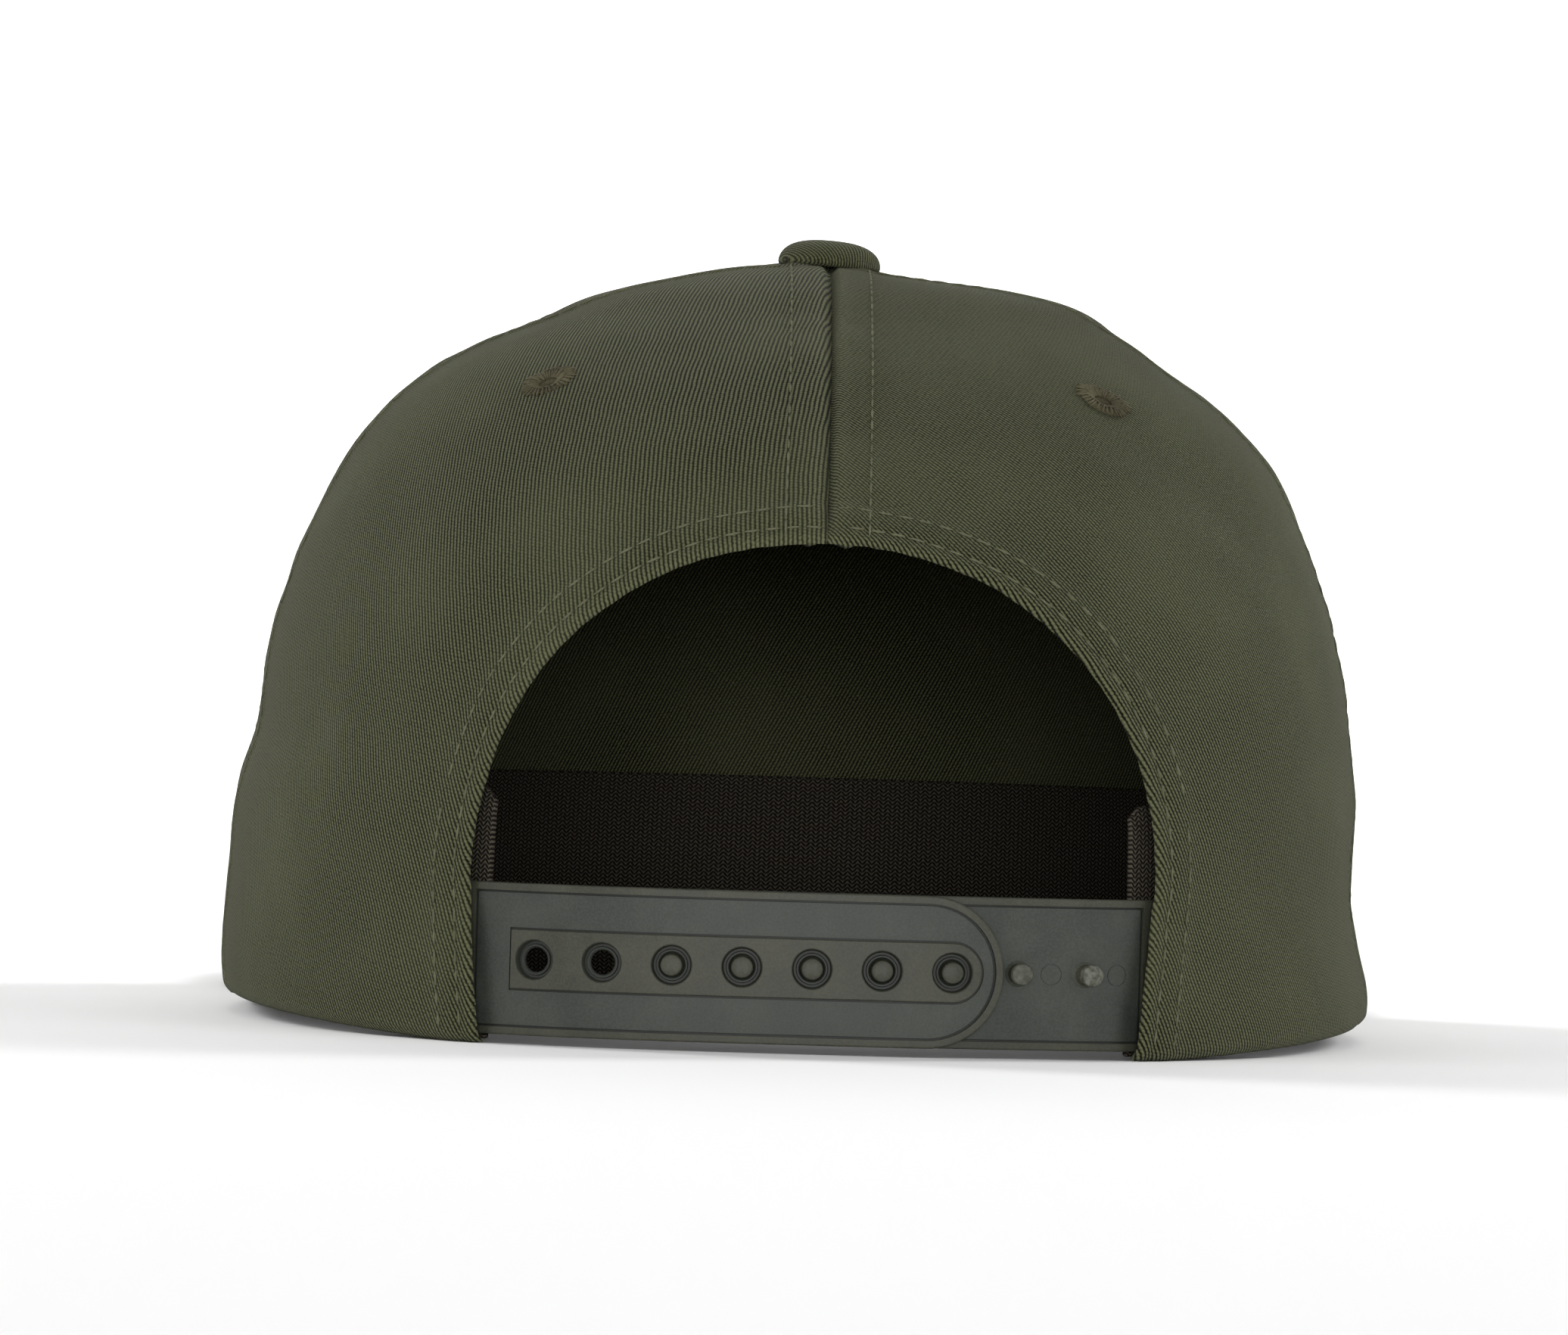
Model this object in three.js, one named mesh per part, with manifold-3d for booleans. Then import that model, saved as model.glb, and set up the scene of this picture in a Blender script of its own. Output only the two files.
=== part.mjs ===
// A snapback cap of five panels: two back panels with an arched opening, two side panels and one front panel,
// with a flat peak, a sweatband, a covered button, four sewn eyelets and a two-part plastic snap strap.
// The peak points to -Y, the opening to +Y and +X is the wearer's left. The rim stands on z = 0 at its front
// and its back, and curls up a little at the sides.
import * as THREE from 'three';
import { mergeVertices } from 'three/addons/utils/BufferGeometryUtils.js';
import Module from 'manifold-3d';

const wasm = await Module();
wasm.setup();

// Driving dimensions, in millimetres and degrees

// Crown
const crownHeight = 106.8;
const crownHalfWidth = 80.5;
const crownFrontDepth = 104.2;
const crownBackDepth = 98.3;
const planExponent = 2.2; // 2 would be an ellipse
const topLean = 2; // the top stands this far to the wearer's right
const topTilt = 0.05; // slope of the top, down to the wearer's right
const topTiltInner = 6;
const topTiltOuter = 26;
const rimLift = 2.6; // how far the sides of the rim curl up
const rimLiftFrom = 31; // azimuths from the back seam where the lift starts, is full, and ends
const rimLiftFull = 82;
const rimLiftEnd = 113;
const rimLiftFade = 3; // how quickly the lift dies out up the crown
const clothThickness = 1.6;
const seamGap = 0.3;
const fitGap = 0.3;
const backPanelSpan = 82; // of the circle, from the back seam to a side seam
const frontPanelSpan = 90;

// Shares of the height, the half width and the two depths, from the rim up to the top
const crownSections = [
  { up: 0, left: 0.996, right: 0.996, front: 0.998, back: 0.997 },
  { up: 0.056, left: 1, right: 1, front: 1, back: 1 },
  { up: 0.169, left: 0.993, right: 0.975, front: 1, back: 0.997 },
  { up: 0.281, left: 0.986, right: 0.971, front: 0.996, back: 0.989 },
  { up: 0.375, left: 0.965, right: 0.954, front: 0.988, back: 0.969 },
  { up: 0.468, left: 0.948, right: 0.935, front: 0.972, back: 0.934 },
  { up: 0.562, left: 0.917, right: 0.903, front: 0.943, back: 0.88 },
  { up: 0.655, left: 0.87, right: 0.856, front: 0.895, back: 0.804 },
  { up: 0.74, left: 0.811, right: 0.798, front: 0.825, back: 0.71 },
  { up: 0.815, left: 0.735, right: 0.707, front: 0.732, back: 0.595 },
  { up: 0.871, left: 0.64, right: 0.605, front: 0.624, back: 0.483 },
  { up: 0.918, left: 0.509, right: 0.517, front: 0.499, back: 0.366 },
  { up: 0.955, left: 0.385, right: 0.419, front: 0.365, back: 0.259 },
  { up: 0.983, left: 0.2, right: 0.19, front: 0.2, back: 0.142 },
  { up: 1, left: 0, right: 0, front: 0, back: 0 },
];

// Opening over the strap
const openingHalfWidth = 45.2;
const openingRimHalfWidth = 43.3;
const openingHeight = 66.8;
const openingShoulderHeight = 22;
const openingExponent = 2.1;

// Eyelets
const eyeletRadius = 4;
const eyeletHoleRadius = 1.3;
const eyeletWallHoleRadius = 2.3;
const eyeletThickness = 0.65;
const eyeletInnerFlangeRadius = 3.3;
const eyeletDrop = 18.3; // below the top of the crown
const backEyeletAzimuth = 41;

// Button
const buttonRadius = 7.2;
const buttonHeight = 3.4;
const buttonTilt = 3.4;
const buttonShankRadius = 1.6;
const buttonShankLength = 4;
const buttonEdgeDrop = 0.3; // its underside follows the dome of the crown
const buttonGap = 0.5;

// Sweatband
const bandThickness = 1.2;
const bandHeight = 32.9;
const bandRimGap = 0.4;
const bandOpeningHalfWidth = 42.3;
const bandTuckStart = 36; // behind the strap's ends the band stands further in
const bandTuckEnd = 58;
const bandTuckSlack = 0.5;
const bandFit = 0.65; // its gap to the inside of the cloth

// Snap strap
const strapWidth = 19.8;
const strapRimGap = 1.2;
const strapThickness = 1.3;
const strapFieldThickness = 1;
const strapRibWidth = 1.2;
const strapFlattening = 4; // its middle is flatter than the crown's rim
const strapTuck = 8; // length hidden behind the edge of the opening
const strapFit = 0.5; // its gap to the inside of the cloth
const strapTip = 25; // from the middle of the back to the round end of each half
const snapPitch = 9.05;
const snapCount = 7;
const snapHoleRadius = 1.8;
const snapSeatRadius = 2.65;
const snapSeatDepth = 0.3;
const studRadius = 1.42;
const studHeight = 2.4;
const snapBandHalfHeight = 3.9;
const snapFirst = 18.3; // from the middle to the hole nearest to the tip
const snapBandStart = -39.3;
const snapsFastened = 5;
const studLeadIn = 27; // past the outer half's tip the under half comes level with it
const studLeadEnd = 42;

// Peak
const peakLength = 70;
const peakHalfWidth = 83.5;
const peakThickness = 3.4;
const peakExponent = 2.3;
const peakBellyFromFront = 99; // where the peak is widest
const peakTailDepth = 62;
const peakSpan = 65; // to each side of the front
const peakRise = 5; // of the front edge's middle

// Facets
const panelColumns = { back: 15, side: 9, front: 15 };
const panelRows = 14;
const bandColumns = 44;
const bandRows = 3;
const peakColumns = 22;
const peakRows = 6;
const strapStep = 5;
const roundSides = 14;
const barSides = 10;
const eyeletSides = 12;
const topMargin = 0.995; // share of the rise where the sheets of cloth stop
const cutLength = 12; // of a cutter that passes through a wall
const overshoot = 1; // of a cutter past the face it opens
const openingFacets = 21;
const fullTurn = 360;

const smooth = THREE.MathUtils.smoothstep;
const mix = THREE.MathUtils.lerp;
const radians = THREE.MathUtils.degToRad;
const upward = new THREE.Vector3(0, 0, 1);
const latheAxis = new THREE.Vector3(0, 1, 0);

// Solids

function solidOf(geometry) {
  const bare = geometry.clone();
  bare.deleteAttribute('normal');
  bare.deleteAttribute('uv');
  const merged = mergeVertices(bare, 1e-4);
  return new wasm.Manifold(new wasm.Mesh({
    numProp: 3,
    vertProperties: merged.attributes.position.array,
    triVerts: new Uint32Array(merged.index.array),
  }));
}

function geometryOf(solid) {
  const mesh = solid.getMesh();
  const geometry = new THREE.BufferGeometry();
  geometry.setAttribute('position', new THREE.BufferAttribute(mesh.vertProperties, 3));
  geometry.setIndex(new THREE.BufferAttribute(mesh.triVerts, 1));
  geometry.computeVertexNormals();
  return geometry;
}

// A box whose three shares, each from 0 to 1, are bent to a place: across, up, and outward.
function bentBox(columns, rows, place) {
  const geometry = new THREE.BoxGeometry(1, 1, 1, columns, rows, 1);
  const position = geometry.attributes.position;
  for (let i = 0; i < position.count; i++) {
    const at = place(position.getX(i) + 0.5, position.getY(i) + 0.5, position.getZ(i) + 0.5);
    position.setXYZ(i, at.x, at.y, at.z);
  }
  return solidOf(geometry);
}

// A round bar along a direction, from a start to an end measured from a point.
function bar(point, along, radius, start, end) {
  const geometry = new THREE.CylinderGeometry(radius, radius, end - start, barSides);
  geometry.translate(0, (start + end) / 2, 0);
  geometry.applyQuaternion(new THREE.Quaternion().setFromUnitVectors(latheAxis, along));
  geometry.translate(point.x, point.y, point.z);
  return solidOf(geometry);
}

// Crown surface

// A smooth curve through one column of the sections, at a share of the rise.
function sectionValue(column, rise) {
  const last = crownSections.length - 1;
  const along = THREE.MathUtils.clamp(rise, 0, 1) * last;
  const row = Math.min(Math.floor(along), last - 1);
  const t = along - row;
  const b = crownSections[row][column];
  const c = crownSections[row + 1][column];
  const a = row > 0 ? crownSections[row - 1][column] : 2 * b - c;
  const d = row + 2 <= last ? crownSections[row + 2][column] : 2 * c - b;
  return b + 0.5 * t * (c - a + t * (2 * a - 5 * b + 4 * c - d + t * (3 * (b - c) + d - a)));
}

function riseAtHeight(height) {
  let low = 0;
  let high = 1;
  for (let i = 0; i < 40; i++) {
    const middle = (low + high) / 2;
    if (sectionValue('up', middle) * crownHeight < height) low = middle;
    else high = middle;
  }
  return low;
}

function planRadius(azimuth, rise) {
  const side = Math.sin(azimuth);
  const back = Math.cos(azimuth);
  const halfWidth = crownHalfWidth * sectionValue(side > 0 ? 'left' : 'right', rise);
  const fullDepth = back > 0 ? crownBackDepth : crownFrontDepth;
  const depth = fullDepth * sectionValue(back > 0 ? 'back' : 'front', rise);
  const filled = Math.abs(side / halfWidth) ** planExponent + Math.abs(back / depth) ** planExponent;
  return filled ** (-1 / planExponent);
}

// How far the rim's curl lifts the cloth, at an azimuth and a share of the height.
function curl(azimuth, up) {
  const fromBack = THREE.MathUtils.radToDeg(Math.abs(Math.atan2(Math.sin(azimuth), Math.cos(azimuth))));
  const growing = THREE.MathUtils.clamp((fromBack - rimLiftFrom) / (rimLiftFull - rimLiftFrom), 0, 1);
  const ending = 1 - smooth(fromBack, rimLiftFull, rimLiftEnd);
  return rimLift * Math.sin(growing * Math.PI / 2) * ending * (1 - up) ** rimLiftFade;
}

// The azimuth is turned from the back seam towards the wearer's left.
function crownFace(azimuth, rise) {
  const radius = planRadius(azimuth, rise);
  const up = sectionValue('up', rise);
  const x = radius * Math.sin(azimuth);
  const tilt = topTilt * x * (1 - smooth(radius, topTiltInner, topTiltOuter));
  const z = up * crownHeight + tilt + curl(azimuth, up);
  return new THREE.Vector3(x - topLean * up ** 2, radius * Math.cos(azimuth), z);
}

function crownOutward(azimuth, rise) {
  const step = 1e-3;
  const at = Math.min(rise, 1 - 2 * step);
  const across = crownFace(azimuth + step, at).sub(crownFace(azimuth - step, at));
  const climb = crownFace(azimuth, at + step).sub(crownFace(azimuth, Math.max(at - step, 0)));
  const outward = climb.cross(across).normalize();
  outward.z *= smooth(rise, 0, riseAtHeight(clothThickness * 8)); // the rim's edge stays level
  return outward;
}

function crownPoint(azimuth, rise, inset) {
  return crownFace(azimuth, rise).addScaledVector(crownOutward(azimuth, rise), -inset);
}

// The azimuth at which a layer of the crown stands at a given x, to the wearer's left or right.
function azimuthAtX(x, rise, inset) {
  let low = 0;
  let high = Math.PI / 2;
  for (let i = 0; i < 40; i++) {
    const middle = (low + high) / 2;
    if (crownPoint(middle * Math.sign(x), rise, inset).x * Math.sign(x) < Math.abs(x)) low = middle;
    else high = middle;
  }
  return low * Math.sign(x);
}

// Panels

function panel(fromDegrees, toDegrees, columns) {
  const from = radians(fromDegrees);
  const to = radians(toDegrees);
  return bentBox(columns, panelRows, (across, up, outward) => {
    const rise = up * topMargin;
    const margin = seamGap / 2 / planRadius(mix(to, from, across), rise);
    const azimuth = mix(to - margin, from + margin, across);
    return crownPoint(azimuth, rise, (1 - outward) * clothThickness);
  });
}

// A block through the back, with the outline of the opening.
function openingCutter() {
  const shape = new THREE.Shape();
  const lean = (height) => -topLean * (height / crownHeight) ** 2;
  shape.moveTo(-openingRimHalfWidth, -cutLength);
  shape.lineTo(openingRimHalfWidth, -cutLength);
  shape.lineTo(openingRimHalfWidth, 0);
  for (let i = 0; i <= openingFacets; i++) {
    const turn = (Math.PI * i) / openingFacets;
    const side = Math.cos(turn);
    const height = Math.sin(turn) ** (2 / openingExponent) * (openingHeight - openingShoulderHeight);
    const z = openingShoulderHeight + height;
    const x = Math.sign(side) * Math.abs(side) ** (2 / openingExponent) * openingHalfWidth;
    shape.lineTo(x + lean(z), z);
  }
  shape.lineTo(-openingRimHalfWidth, 0);
  const geometry = new THREE.ExtrudeGeometry(shape, { depth: crownBackDepth, bevelEnabled: false });
  geometry.rotateX(Math.PI / 2);
  geometry.translate(0, crownBackDepth + cutLength, 0);
  return solidOf(geometry);
}

function eyeletSeat(azimuthDegrees) {
  const azimuth = radians(azimuthDegrees);
  const rise = riseAtHeight(crownHeight - eyeletDrop);
  return { point: crownFace(azimuth, rise), outward: crownOutward(azimuth, rise) };
}

function pierce(solid, seat) {
  return solid.subtract(bar(seat.point, seat.outward, eyeletWallHoleRadius, -cutLength / 2, cutLength / 2));
}

function withButtonHole(solid) {
  const top = crownFace(0, 1);
  return solid.subtract(bar(top, upward, buttonShankRadius + fitGap, -cutLength, cutLength));
}

// Eyelet: a sewn ring round the hole, with a smaller ring on the inside of the cloth
function eyeletGeometry() {
  const inner = -clothThickness - 2 * fitGap;
  const shaft = eyeletWallHoleRadius - fitGap;
  return new THREE.LatheGeometry([
    new THREE.Vector2(eyeletHoleRadius, inner - eyeletThickness / 2),
    new THREE.Vector2(eyeletInnerFlangeRadius, inner - eyeletThickness / 2),
    new THREE.Vector2(eyeletInnerFlangeRadius, inner),
    new THREE.Vector2(shaft, inner),
    new THREE.Vector2(shaft, fitGap),
    new THREE.Vector2(eyeletRadius, fitGap),
    new THREE.Vector2(eyeletRadius, fitGap + eyeletThickness / 3),
    new THREE.Vector2((eyeletRadius + eyeletHoleRadius) / 2, fitGap + eyeletThickness),
    new THREE.Vector2(eyeletHoleRadius, fitGap + eyeletThickness / 2),
    new THREE.Vector2(eyeletHoleRadius, inner - eyeletThickness / 2),
  ], eyeletSides);
}

// Button: a low dome of covered metal on a shank
function buttonGeometry() {
  const profile = [
    new THREE.Vector2(0, -buttonShankLength),
    new THREE.Vector2(buttonShankRadius, -buttonShankLength),
    new THREE.Vector2(buttonShankRadius, 0),
    new THREE.Vector2(buttonRadius * 0.94, -buttonEdgeDrop),
  ];
  const steps = 7;
  for (let i = 0; i < steps; i++) {
    const turn = (Math.PI / 2) * (i / steps);
    const x = buttonRadius * Math.cos(turn) ** 0.7;
    profile.push(new THREE.Vector2(x, buttonHeight * Math.sin(turn)));
  }
  profile.push(new THREE.Vector2(0, buttonHeight));
  return new THREE.LatheGeometry(profile, roundSides);
}

// Sweatband

// 1 behind the strap's ends, 0 away from them
function behindStrap(azimuth) {
  const fromBack = Math.abs(Math.atan2(Math.sin(azimuth), Math.cos(azimuth)));
  return 1 - smooth(THREE.MathUtils.radToDeg(fromBack), bandTuckStart, bandTuckEnd);
}

function sweatband() {
  const deepest = clothThickness + bandFit + strapThickness + bandTuckSlack;
  const start = azimuthAtX(bandOpeningHalfWidth, 0, deepest);
  const end = 2 * Math.PI + azimuthAtX(-bandOpeningHalfWidth, 0, deepest);
  return bentBox(bandColumns, bandRows, (across, up, outward) => {
    const azimuth = mix(end, start, across);
    const tuck = behindStrap(azimuth);
    const height = bandRimGap + up * bandHeight;
    const level = Math.max(height, tuck * (strapRimGap + strapWidth));
    const outerInset = clothThickness + bandFit + tuck * (strapThickness + bandTuckSlack);
    const at = crownPoint(azimuth, riseAtHeight(level), outerInset + (1 - outward) * bandThickness);
    return at.setZ(height + curl(azimuth, height / crownHeight));
  });
}

// Snap strap

const strapMiddle = strapRimGap + strapWidth / 2;

// The back face of the outer half, seen from above, from the wearer's right to the left.
function strapPath() {
  const rise = riseAtHeight(strapMiddle + strapWidth / 2);
  const inset = clothThickness + strapFit + strapThickness;
  const end = azimuthAtX(openingHalfWidth + strapTuck, rise, inset);
  const points = [];
  for (let i = -8; i <= 8; i++) {
    const at = crownPoint((end * i) / 8, rise, inset);
    const share = Math.min(Math.abs(at.x) / openingHalfWidth, 1);
    points.push(new THREE.Vector3(at.x, at.y - strapFlattening * (1 - share ** 2) ** 2, 0));
  }
  return new THREE.CatmullRomCurve3(points, false, 'centripetal');
}

const strapCurve = strapPath();
strapCurve.arcLengthDivisions = 400;
const strapLength = strapCurve.getLength();

function strapFrame(along) {
  const share = THREE.MathUtils.clamp(0.5 + along / strapLength, 0, 1);
  const tangent = strapCurve.getTangentAt(share);
  const outward = new THREE.Vector3(-tangent.y, tangent.x, 0).normalize();
  return { point: strapCurve.getPointAt(share), outward };
}

// A place on the strap: along it from the middle, up from its centre line, and out from its back face.
function strapPoint(along, height, out) {
  const frame = strapFrame(along);
  return frame.point.addScaledVector(frame.outward, out).setZ(strapMiddle + height);
}

function underDepth(along) {
  return -(strapThickness + fitGap) * (1 - smooth(-along, studLeadIn, studLeadEnd));
}

// Each half of the strap is made flat, with its round tip towards +X and its outer face up, and then bent.
function tongue(start, end, half) {
  const shape = new THREE.Shape();
  shape.moveTo(start, -half);
  shape.lineTo(end - half, -half);
  shape.absarc(end - half, 0, half, -Math.PI / 2, Math.PI / 2);
  shape.lineTo(start, half);
  return shape;
}

function layer(shape, from, to) {
  const settings = { depth: to - from, bevelEnabled: false, curveSegments: roundSides };
  return solidOf(new THREE.ExtrudeGeometry(shape, settings).translate(0, 0, from));
}

// A thin field with a raised rib along its edges and round its tip
function flatHalf() {
  const start = -strapLength / 2;
  const half = strapWidth / 2;
  const inside = tongue(start - overshoot, strapTip - strapRibWidth, half - strapRibWidth);
  return layer(tongue(start, strapTip, half), 0, strapThickness)
    .subtract(layer(inside, strapFieldThickness, strapThickness + overshoot));
}

function bent(flat, direction, base) {
  const geometry = geometryOf(flat.refineToLength(strapStep));
  const position = geometry.attributes.position;
  for (let i = 0; i < position.count; i++) {
    const along = direction * position.getX(i);
    const at = strapPoint(along, -direction * position.getY(i), base(along) + position.getZ(i));
    position.setXYZ(i, at.x, at.y, at.z);
  }
  return geometry;
}

function snapPlaces(first) {
  return Array.from({ length: snapCount }, (unused, i) => new THREE.Vector3(first - snapPitch * i, 0, 0));
}

// The outer half, with a raised band that holds the holes; its tip points to the wearer's right.
function holeStrap() {
  const band = tongue(snapBandStart, snapFirst + snapBandHalfHeight, snapBandHalfHeight);
  const seatFloor = strapThickness - snapSeatDepth;
  let flat = flatHalf().add(layer(band, strapFieldThickness / 2, strapThickness));
  for (const place of snapPlaces(snapFirst)) {
    flat = flat
      .subtract(bar(place, upward, snapHoleRadius, -overshoot, strapThickness + overshoot))
      .subtract(bar(place, upward, snapSeatRadius, seatFloor, strapThickness + overshoot));
  }
  return bent(flat, -1, () => 0);
}

// The under half, with the studs that snap through the holes; its tip points to the wearer's left.
function studStrap() {
  const first = snapPitch * (snapsFastened - 1) - snapFirst;
  const root = strapFieldThickness / 2;
  let flat = flatHalf();
  for (const place of snapPlaces(first)) {
    flat = flat.add(bar(place, upward, studRadius, root, strapFieldThickness + studHeight));
  }
  return bent(flat, 1, underDepth);
}

// Peak

const peakTip = crownFrontDepth + fitGap + peakLength;

// Distance from the crown's axis to the peak's outer edge, at an azimuth from the front.
function peakEdge(fromFront) {
  let low = 0;
  let high = 2 * peakTip;
  const belly = peakTip - peakBellyFromFront;
  for (let i = 0; i < 40; i++) {
    const radius = (low + high) / 2;
    const past = radius * Math.cos(fromFront) - belly;
    const along = past > 0 ? past / peakBellyFromFront : -past / peakTailDepth;
    const aside = Math.abs(radius * Math.sin(fromFront)) / peakHalfWidth;
    if (past < 0 && radius < planRadius(Math.PI + fromFront, 0)) low = radius;
    else if (along ** peakExponent + aside ** peakExponent < 1) low = radius;
    else high = radius;
  }
  return low;
}

function peak() {
  const rimRise = riseAtHeight(peakThickness);
  return bentBox(peakColumns, peakRows, (across, outward, up) => {
    const fromFront = radians(mix(-peakSpan, peakSpan, across));
    const azimuth = Math.PI + fromFront;
    const rim = Math.max(planRadius(azimuth, 0), planRadius(azimuth, rimRise)) + fitGap;
    const radius = mix(rim, Math.max(peakEdge(fromFront), rim + peakThickness), outward);
    const middle = Math.cos((fromFront / radians(peakSpan)) * (Math.PI / 2)) ** 2;
    const height = mix(0, peakThickness, up) + peakRise * outward ** 2 * middle;
    return new THREE.Vector3(radius * Math.sin(azimuth), radius * Math.cos(azimuth), height);
  });
}

// Finishes and assembly

const finishes = {
  twill: { color: 0x4a4b39, roughness: 0.9, metalness: 0 },
  knit: { color: 0x363530, roughness: 0.95, metalness: 0 },
  thread: { color: 0x4a4436, roughness: 0.8, metalness: 0 },
  plastic: { color: 0x4f524c, roughness: 0.45, metalness: 0 },
};

function piece(name, shape, finish) {
  const geometry = shape.isBufferGeometry ? shape : geometryOf(shape);
  const mesh = new THREE.Mesh(geometry, new THREE.MeshStandardMaterial(finishes[finish]));
  mesh.name = name;
  return mesh;
}

function seated(mesh, seat) {
  mesh.position.copy(seat.point);
  mesh.quaternion.setFromUnitVectors(latheAxis, seat.outward.clone().normalize());
  return mesh;
}

const sideSeam = backPanelSpan;
const frontSeam = (fullTurn - frontPanelSpan) / 2;
const sideEyeletAzimuth = (sideSeam + frontSeam) / 2;
const cap = new THREE.Group();
const opening = openingCutter();

for (const [side, sign] of [['left', 1], ['right', -1]]) {
  const backSeat = eyeletSeat(sign * backEyeletAzimuth);
  const sideSeat = eyeletSeat(sign * sideEyeletAzimuth);
  const back = sign > 0 ? panel(0, sideSeam, panelColumns.back) : panel(-sideSeam, 0, panelColumns.back);
  const flank = sign > 0
    ? panel(sideSeam, frontSeam, panelColumns.side)
    : panel(-frontSeam, -sideSeam, panelColumns.side);
  cap.add(piece(`back_panel_${side}`, withButtonHole(pierce(back.subtract(opening), backSeat)), 'twill'));
  cap.add(piece(`side_panel_${side}`, withButtonHole(pierce(flank, sideSeat)), 'twill'));
  cap.add(seated(piece(`eyelet_back_${side}`, eyeletGeometry(), 'thread'), backSeat));
  cap.add(seated(piece(`eyelet_side_${side}`, eyeletGeometry(), 'thread'), sideSeat));
}
const front = panel(frontSeam, fullTurn - frontSeam, panelColumns.front);
cap.add(piece('front_panel', withButtonHole(front), 'twill'));

const button = piece('button', buttonGeometry(), 'twill');
button.position.copy(crownFace(0, 1)).add(new THREE.Vector3(0, 0, buttonGap));
button.rotation.set(Math.PI / 2, 0, radians(buttonTilt));
cap.add(button);

cap.add(piece('sweatband', sweatband(), 'knit'));
cap.add(piece('strap_with_holes', holeStrap(), 'plastic'));
cap.add(piece('strap_with_studs', studStrap(), 'plastic'));
cap.add(piece('peak', peak(), 'twill'));

// The origin is under the middle of the whole cap.
const box = new THREE.Box3().setFromObject(cap);
cap.position.y = -(box.min.y + box.max.y) / 2;

export default cap;
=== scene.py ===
# %% [markdown]
# # An olive snapback cap, seen from behind
#
# The cap is sewn from five panels of cotton twill. Its back has an arched opening, closed by a two-part
# plastic strap whose studs snap into holes. This script dresses the solid model of the cap: every piece of
# cloth, thread and plastic is modelled here at its real size, in the place where the solid model has it.

import math
import random
from collections import namedtuple

import bmesh
import bpy
from mathutils import Matrix, Vector, noise
from mathutils.bvhtree import BVHTree
from mathutils.kdtree import KDTree


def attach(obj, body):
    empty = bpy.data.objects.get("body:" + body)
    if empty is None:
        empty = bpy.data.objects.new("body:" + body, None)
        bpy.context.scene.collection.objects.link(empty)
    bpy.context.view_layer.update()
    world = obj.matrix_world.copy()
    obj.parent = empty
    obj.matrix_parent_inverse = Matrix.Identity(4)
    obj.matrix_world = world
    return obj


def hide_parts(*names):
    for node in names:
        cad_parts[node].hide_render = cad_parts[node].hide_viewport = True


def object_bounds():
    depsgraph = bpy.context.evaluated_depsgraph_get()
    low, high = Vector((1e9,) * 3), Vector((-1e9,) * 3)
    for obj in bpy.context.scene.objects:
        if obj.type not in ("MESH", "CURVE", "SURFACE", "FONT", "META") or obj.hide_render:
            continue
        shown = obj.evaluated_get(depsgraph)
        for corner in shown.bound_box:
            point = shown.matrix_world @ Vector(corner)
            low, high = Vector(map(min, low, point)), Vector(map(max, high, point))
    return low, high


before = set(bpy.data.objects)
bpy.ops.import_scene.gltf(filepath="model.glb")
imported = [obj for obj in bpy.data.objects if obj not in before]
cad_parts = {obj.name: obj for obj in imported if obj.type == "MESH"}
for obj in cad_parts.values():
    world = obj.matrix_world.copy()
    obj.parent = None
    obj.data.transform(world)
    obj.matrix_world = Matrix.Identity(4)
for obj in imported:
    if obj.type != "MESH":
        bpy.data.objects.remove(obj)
solid_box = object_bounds()
scene = bpy.context.scene
print("the solid model measures", [round(high - low, 4) for low, high in zip(*solid_box)], "m")

# %% [markdown]
# ## Millimetres round the crown's axis
#
# A cap maker thinks in millimetres from the middle of the crown, so every piece is worked out that way: +X
# is the wearer's left, +Y the back, and z is the height over the table. Only at the end is a piece scaled
# to metres and moved so that its crown stands where the solid model's crown stands.

# %% Sizes of the crown
MM = 0.001
CROWN_HEIGHT = 106.8
CROWN_HALF_WIDTH = 80.5
CROWN_FRONT_DEPTH = 104.2
CROWN_BACK_DEPTH = 98.3
PLAN_EXPONENT = 2.2
TOP_LEAN = 2.0
TOP_TILT = 0.05
TOP_TILT_FROM, TOP_TILT_TO = 6.0, 26.0
RIM_LIFT = 2.6
RIM_LIFT_FROM, RIM_LIFT_FULL, RIM_LIFT_END = 31.0, 82.0, 113.0
RIM_LIFT_FADE = 3
CLOTH_THICKNESS = 1.3
PANEL_WALL = 1.6
FIT_GAP = 0.3
PEAK_LENGTH = 70.0
PEAK_TIP = CROWN_FRONT_DEPTH + FIT_GAP + PEAK_LENGTH
CROWN_Y = solid_box[0][1] / MM + PEAK_TIP

Section = namedtuple("Section", "up left right front back")
SECTIONS = [
    Section(0, 0.996, 0.996, 0.998, 0.997),
    Section(0.056, 1, 1, 1, 1),
    Section(0.169, 0.993, 0.975, 1, 0.997),
    Section(0.281, 0.986, 0.971, 0.996, 0.989),
    Section(0.375, 0.965, 0.954, 0.988, 0.969),
    Section(0.468, 0.948, 0.935, 0.972, 0.934),
    Section(0.562, 0.917, 0.903, 0.943, 0.88),
    Section(0.655, 0.87, 0.856, 0.895, 0.804),
    Section(0.74, 0.811, 0.798, 0.825, 0.71),
    Section(0.815, 0.735, 0.707, 0.732, 0.595),
    Section(0.871, 0.64, 0.605, 0.624, 0.483),
    Section(0.918, 0.509, 0.517, 0.499, 0.366),
    Section(0.955, 0.385, 0.419, 0.365, 0.259),
    Section(0.983, 0.2, 0.19, 0.2, 0.142),
    Section(1, 0, 0, 0, 0),
]


def mix(a, b, share):
    return a + (b - a) * share


def smooth(value, low, high):
    share = min(max((value - low) / (high - low), 0.0), 1.0)
    return share * share * (3 - 2 * share)


def bell(distance, width):
    return math.exp(-((distance / width) ** 2))


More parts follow.
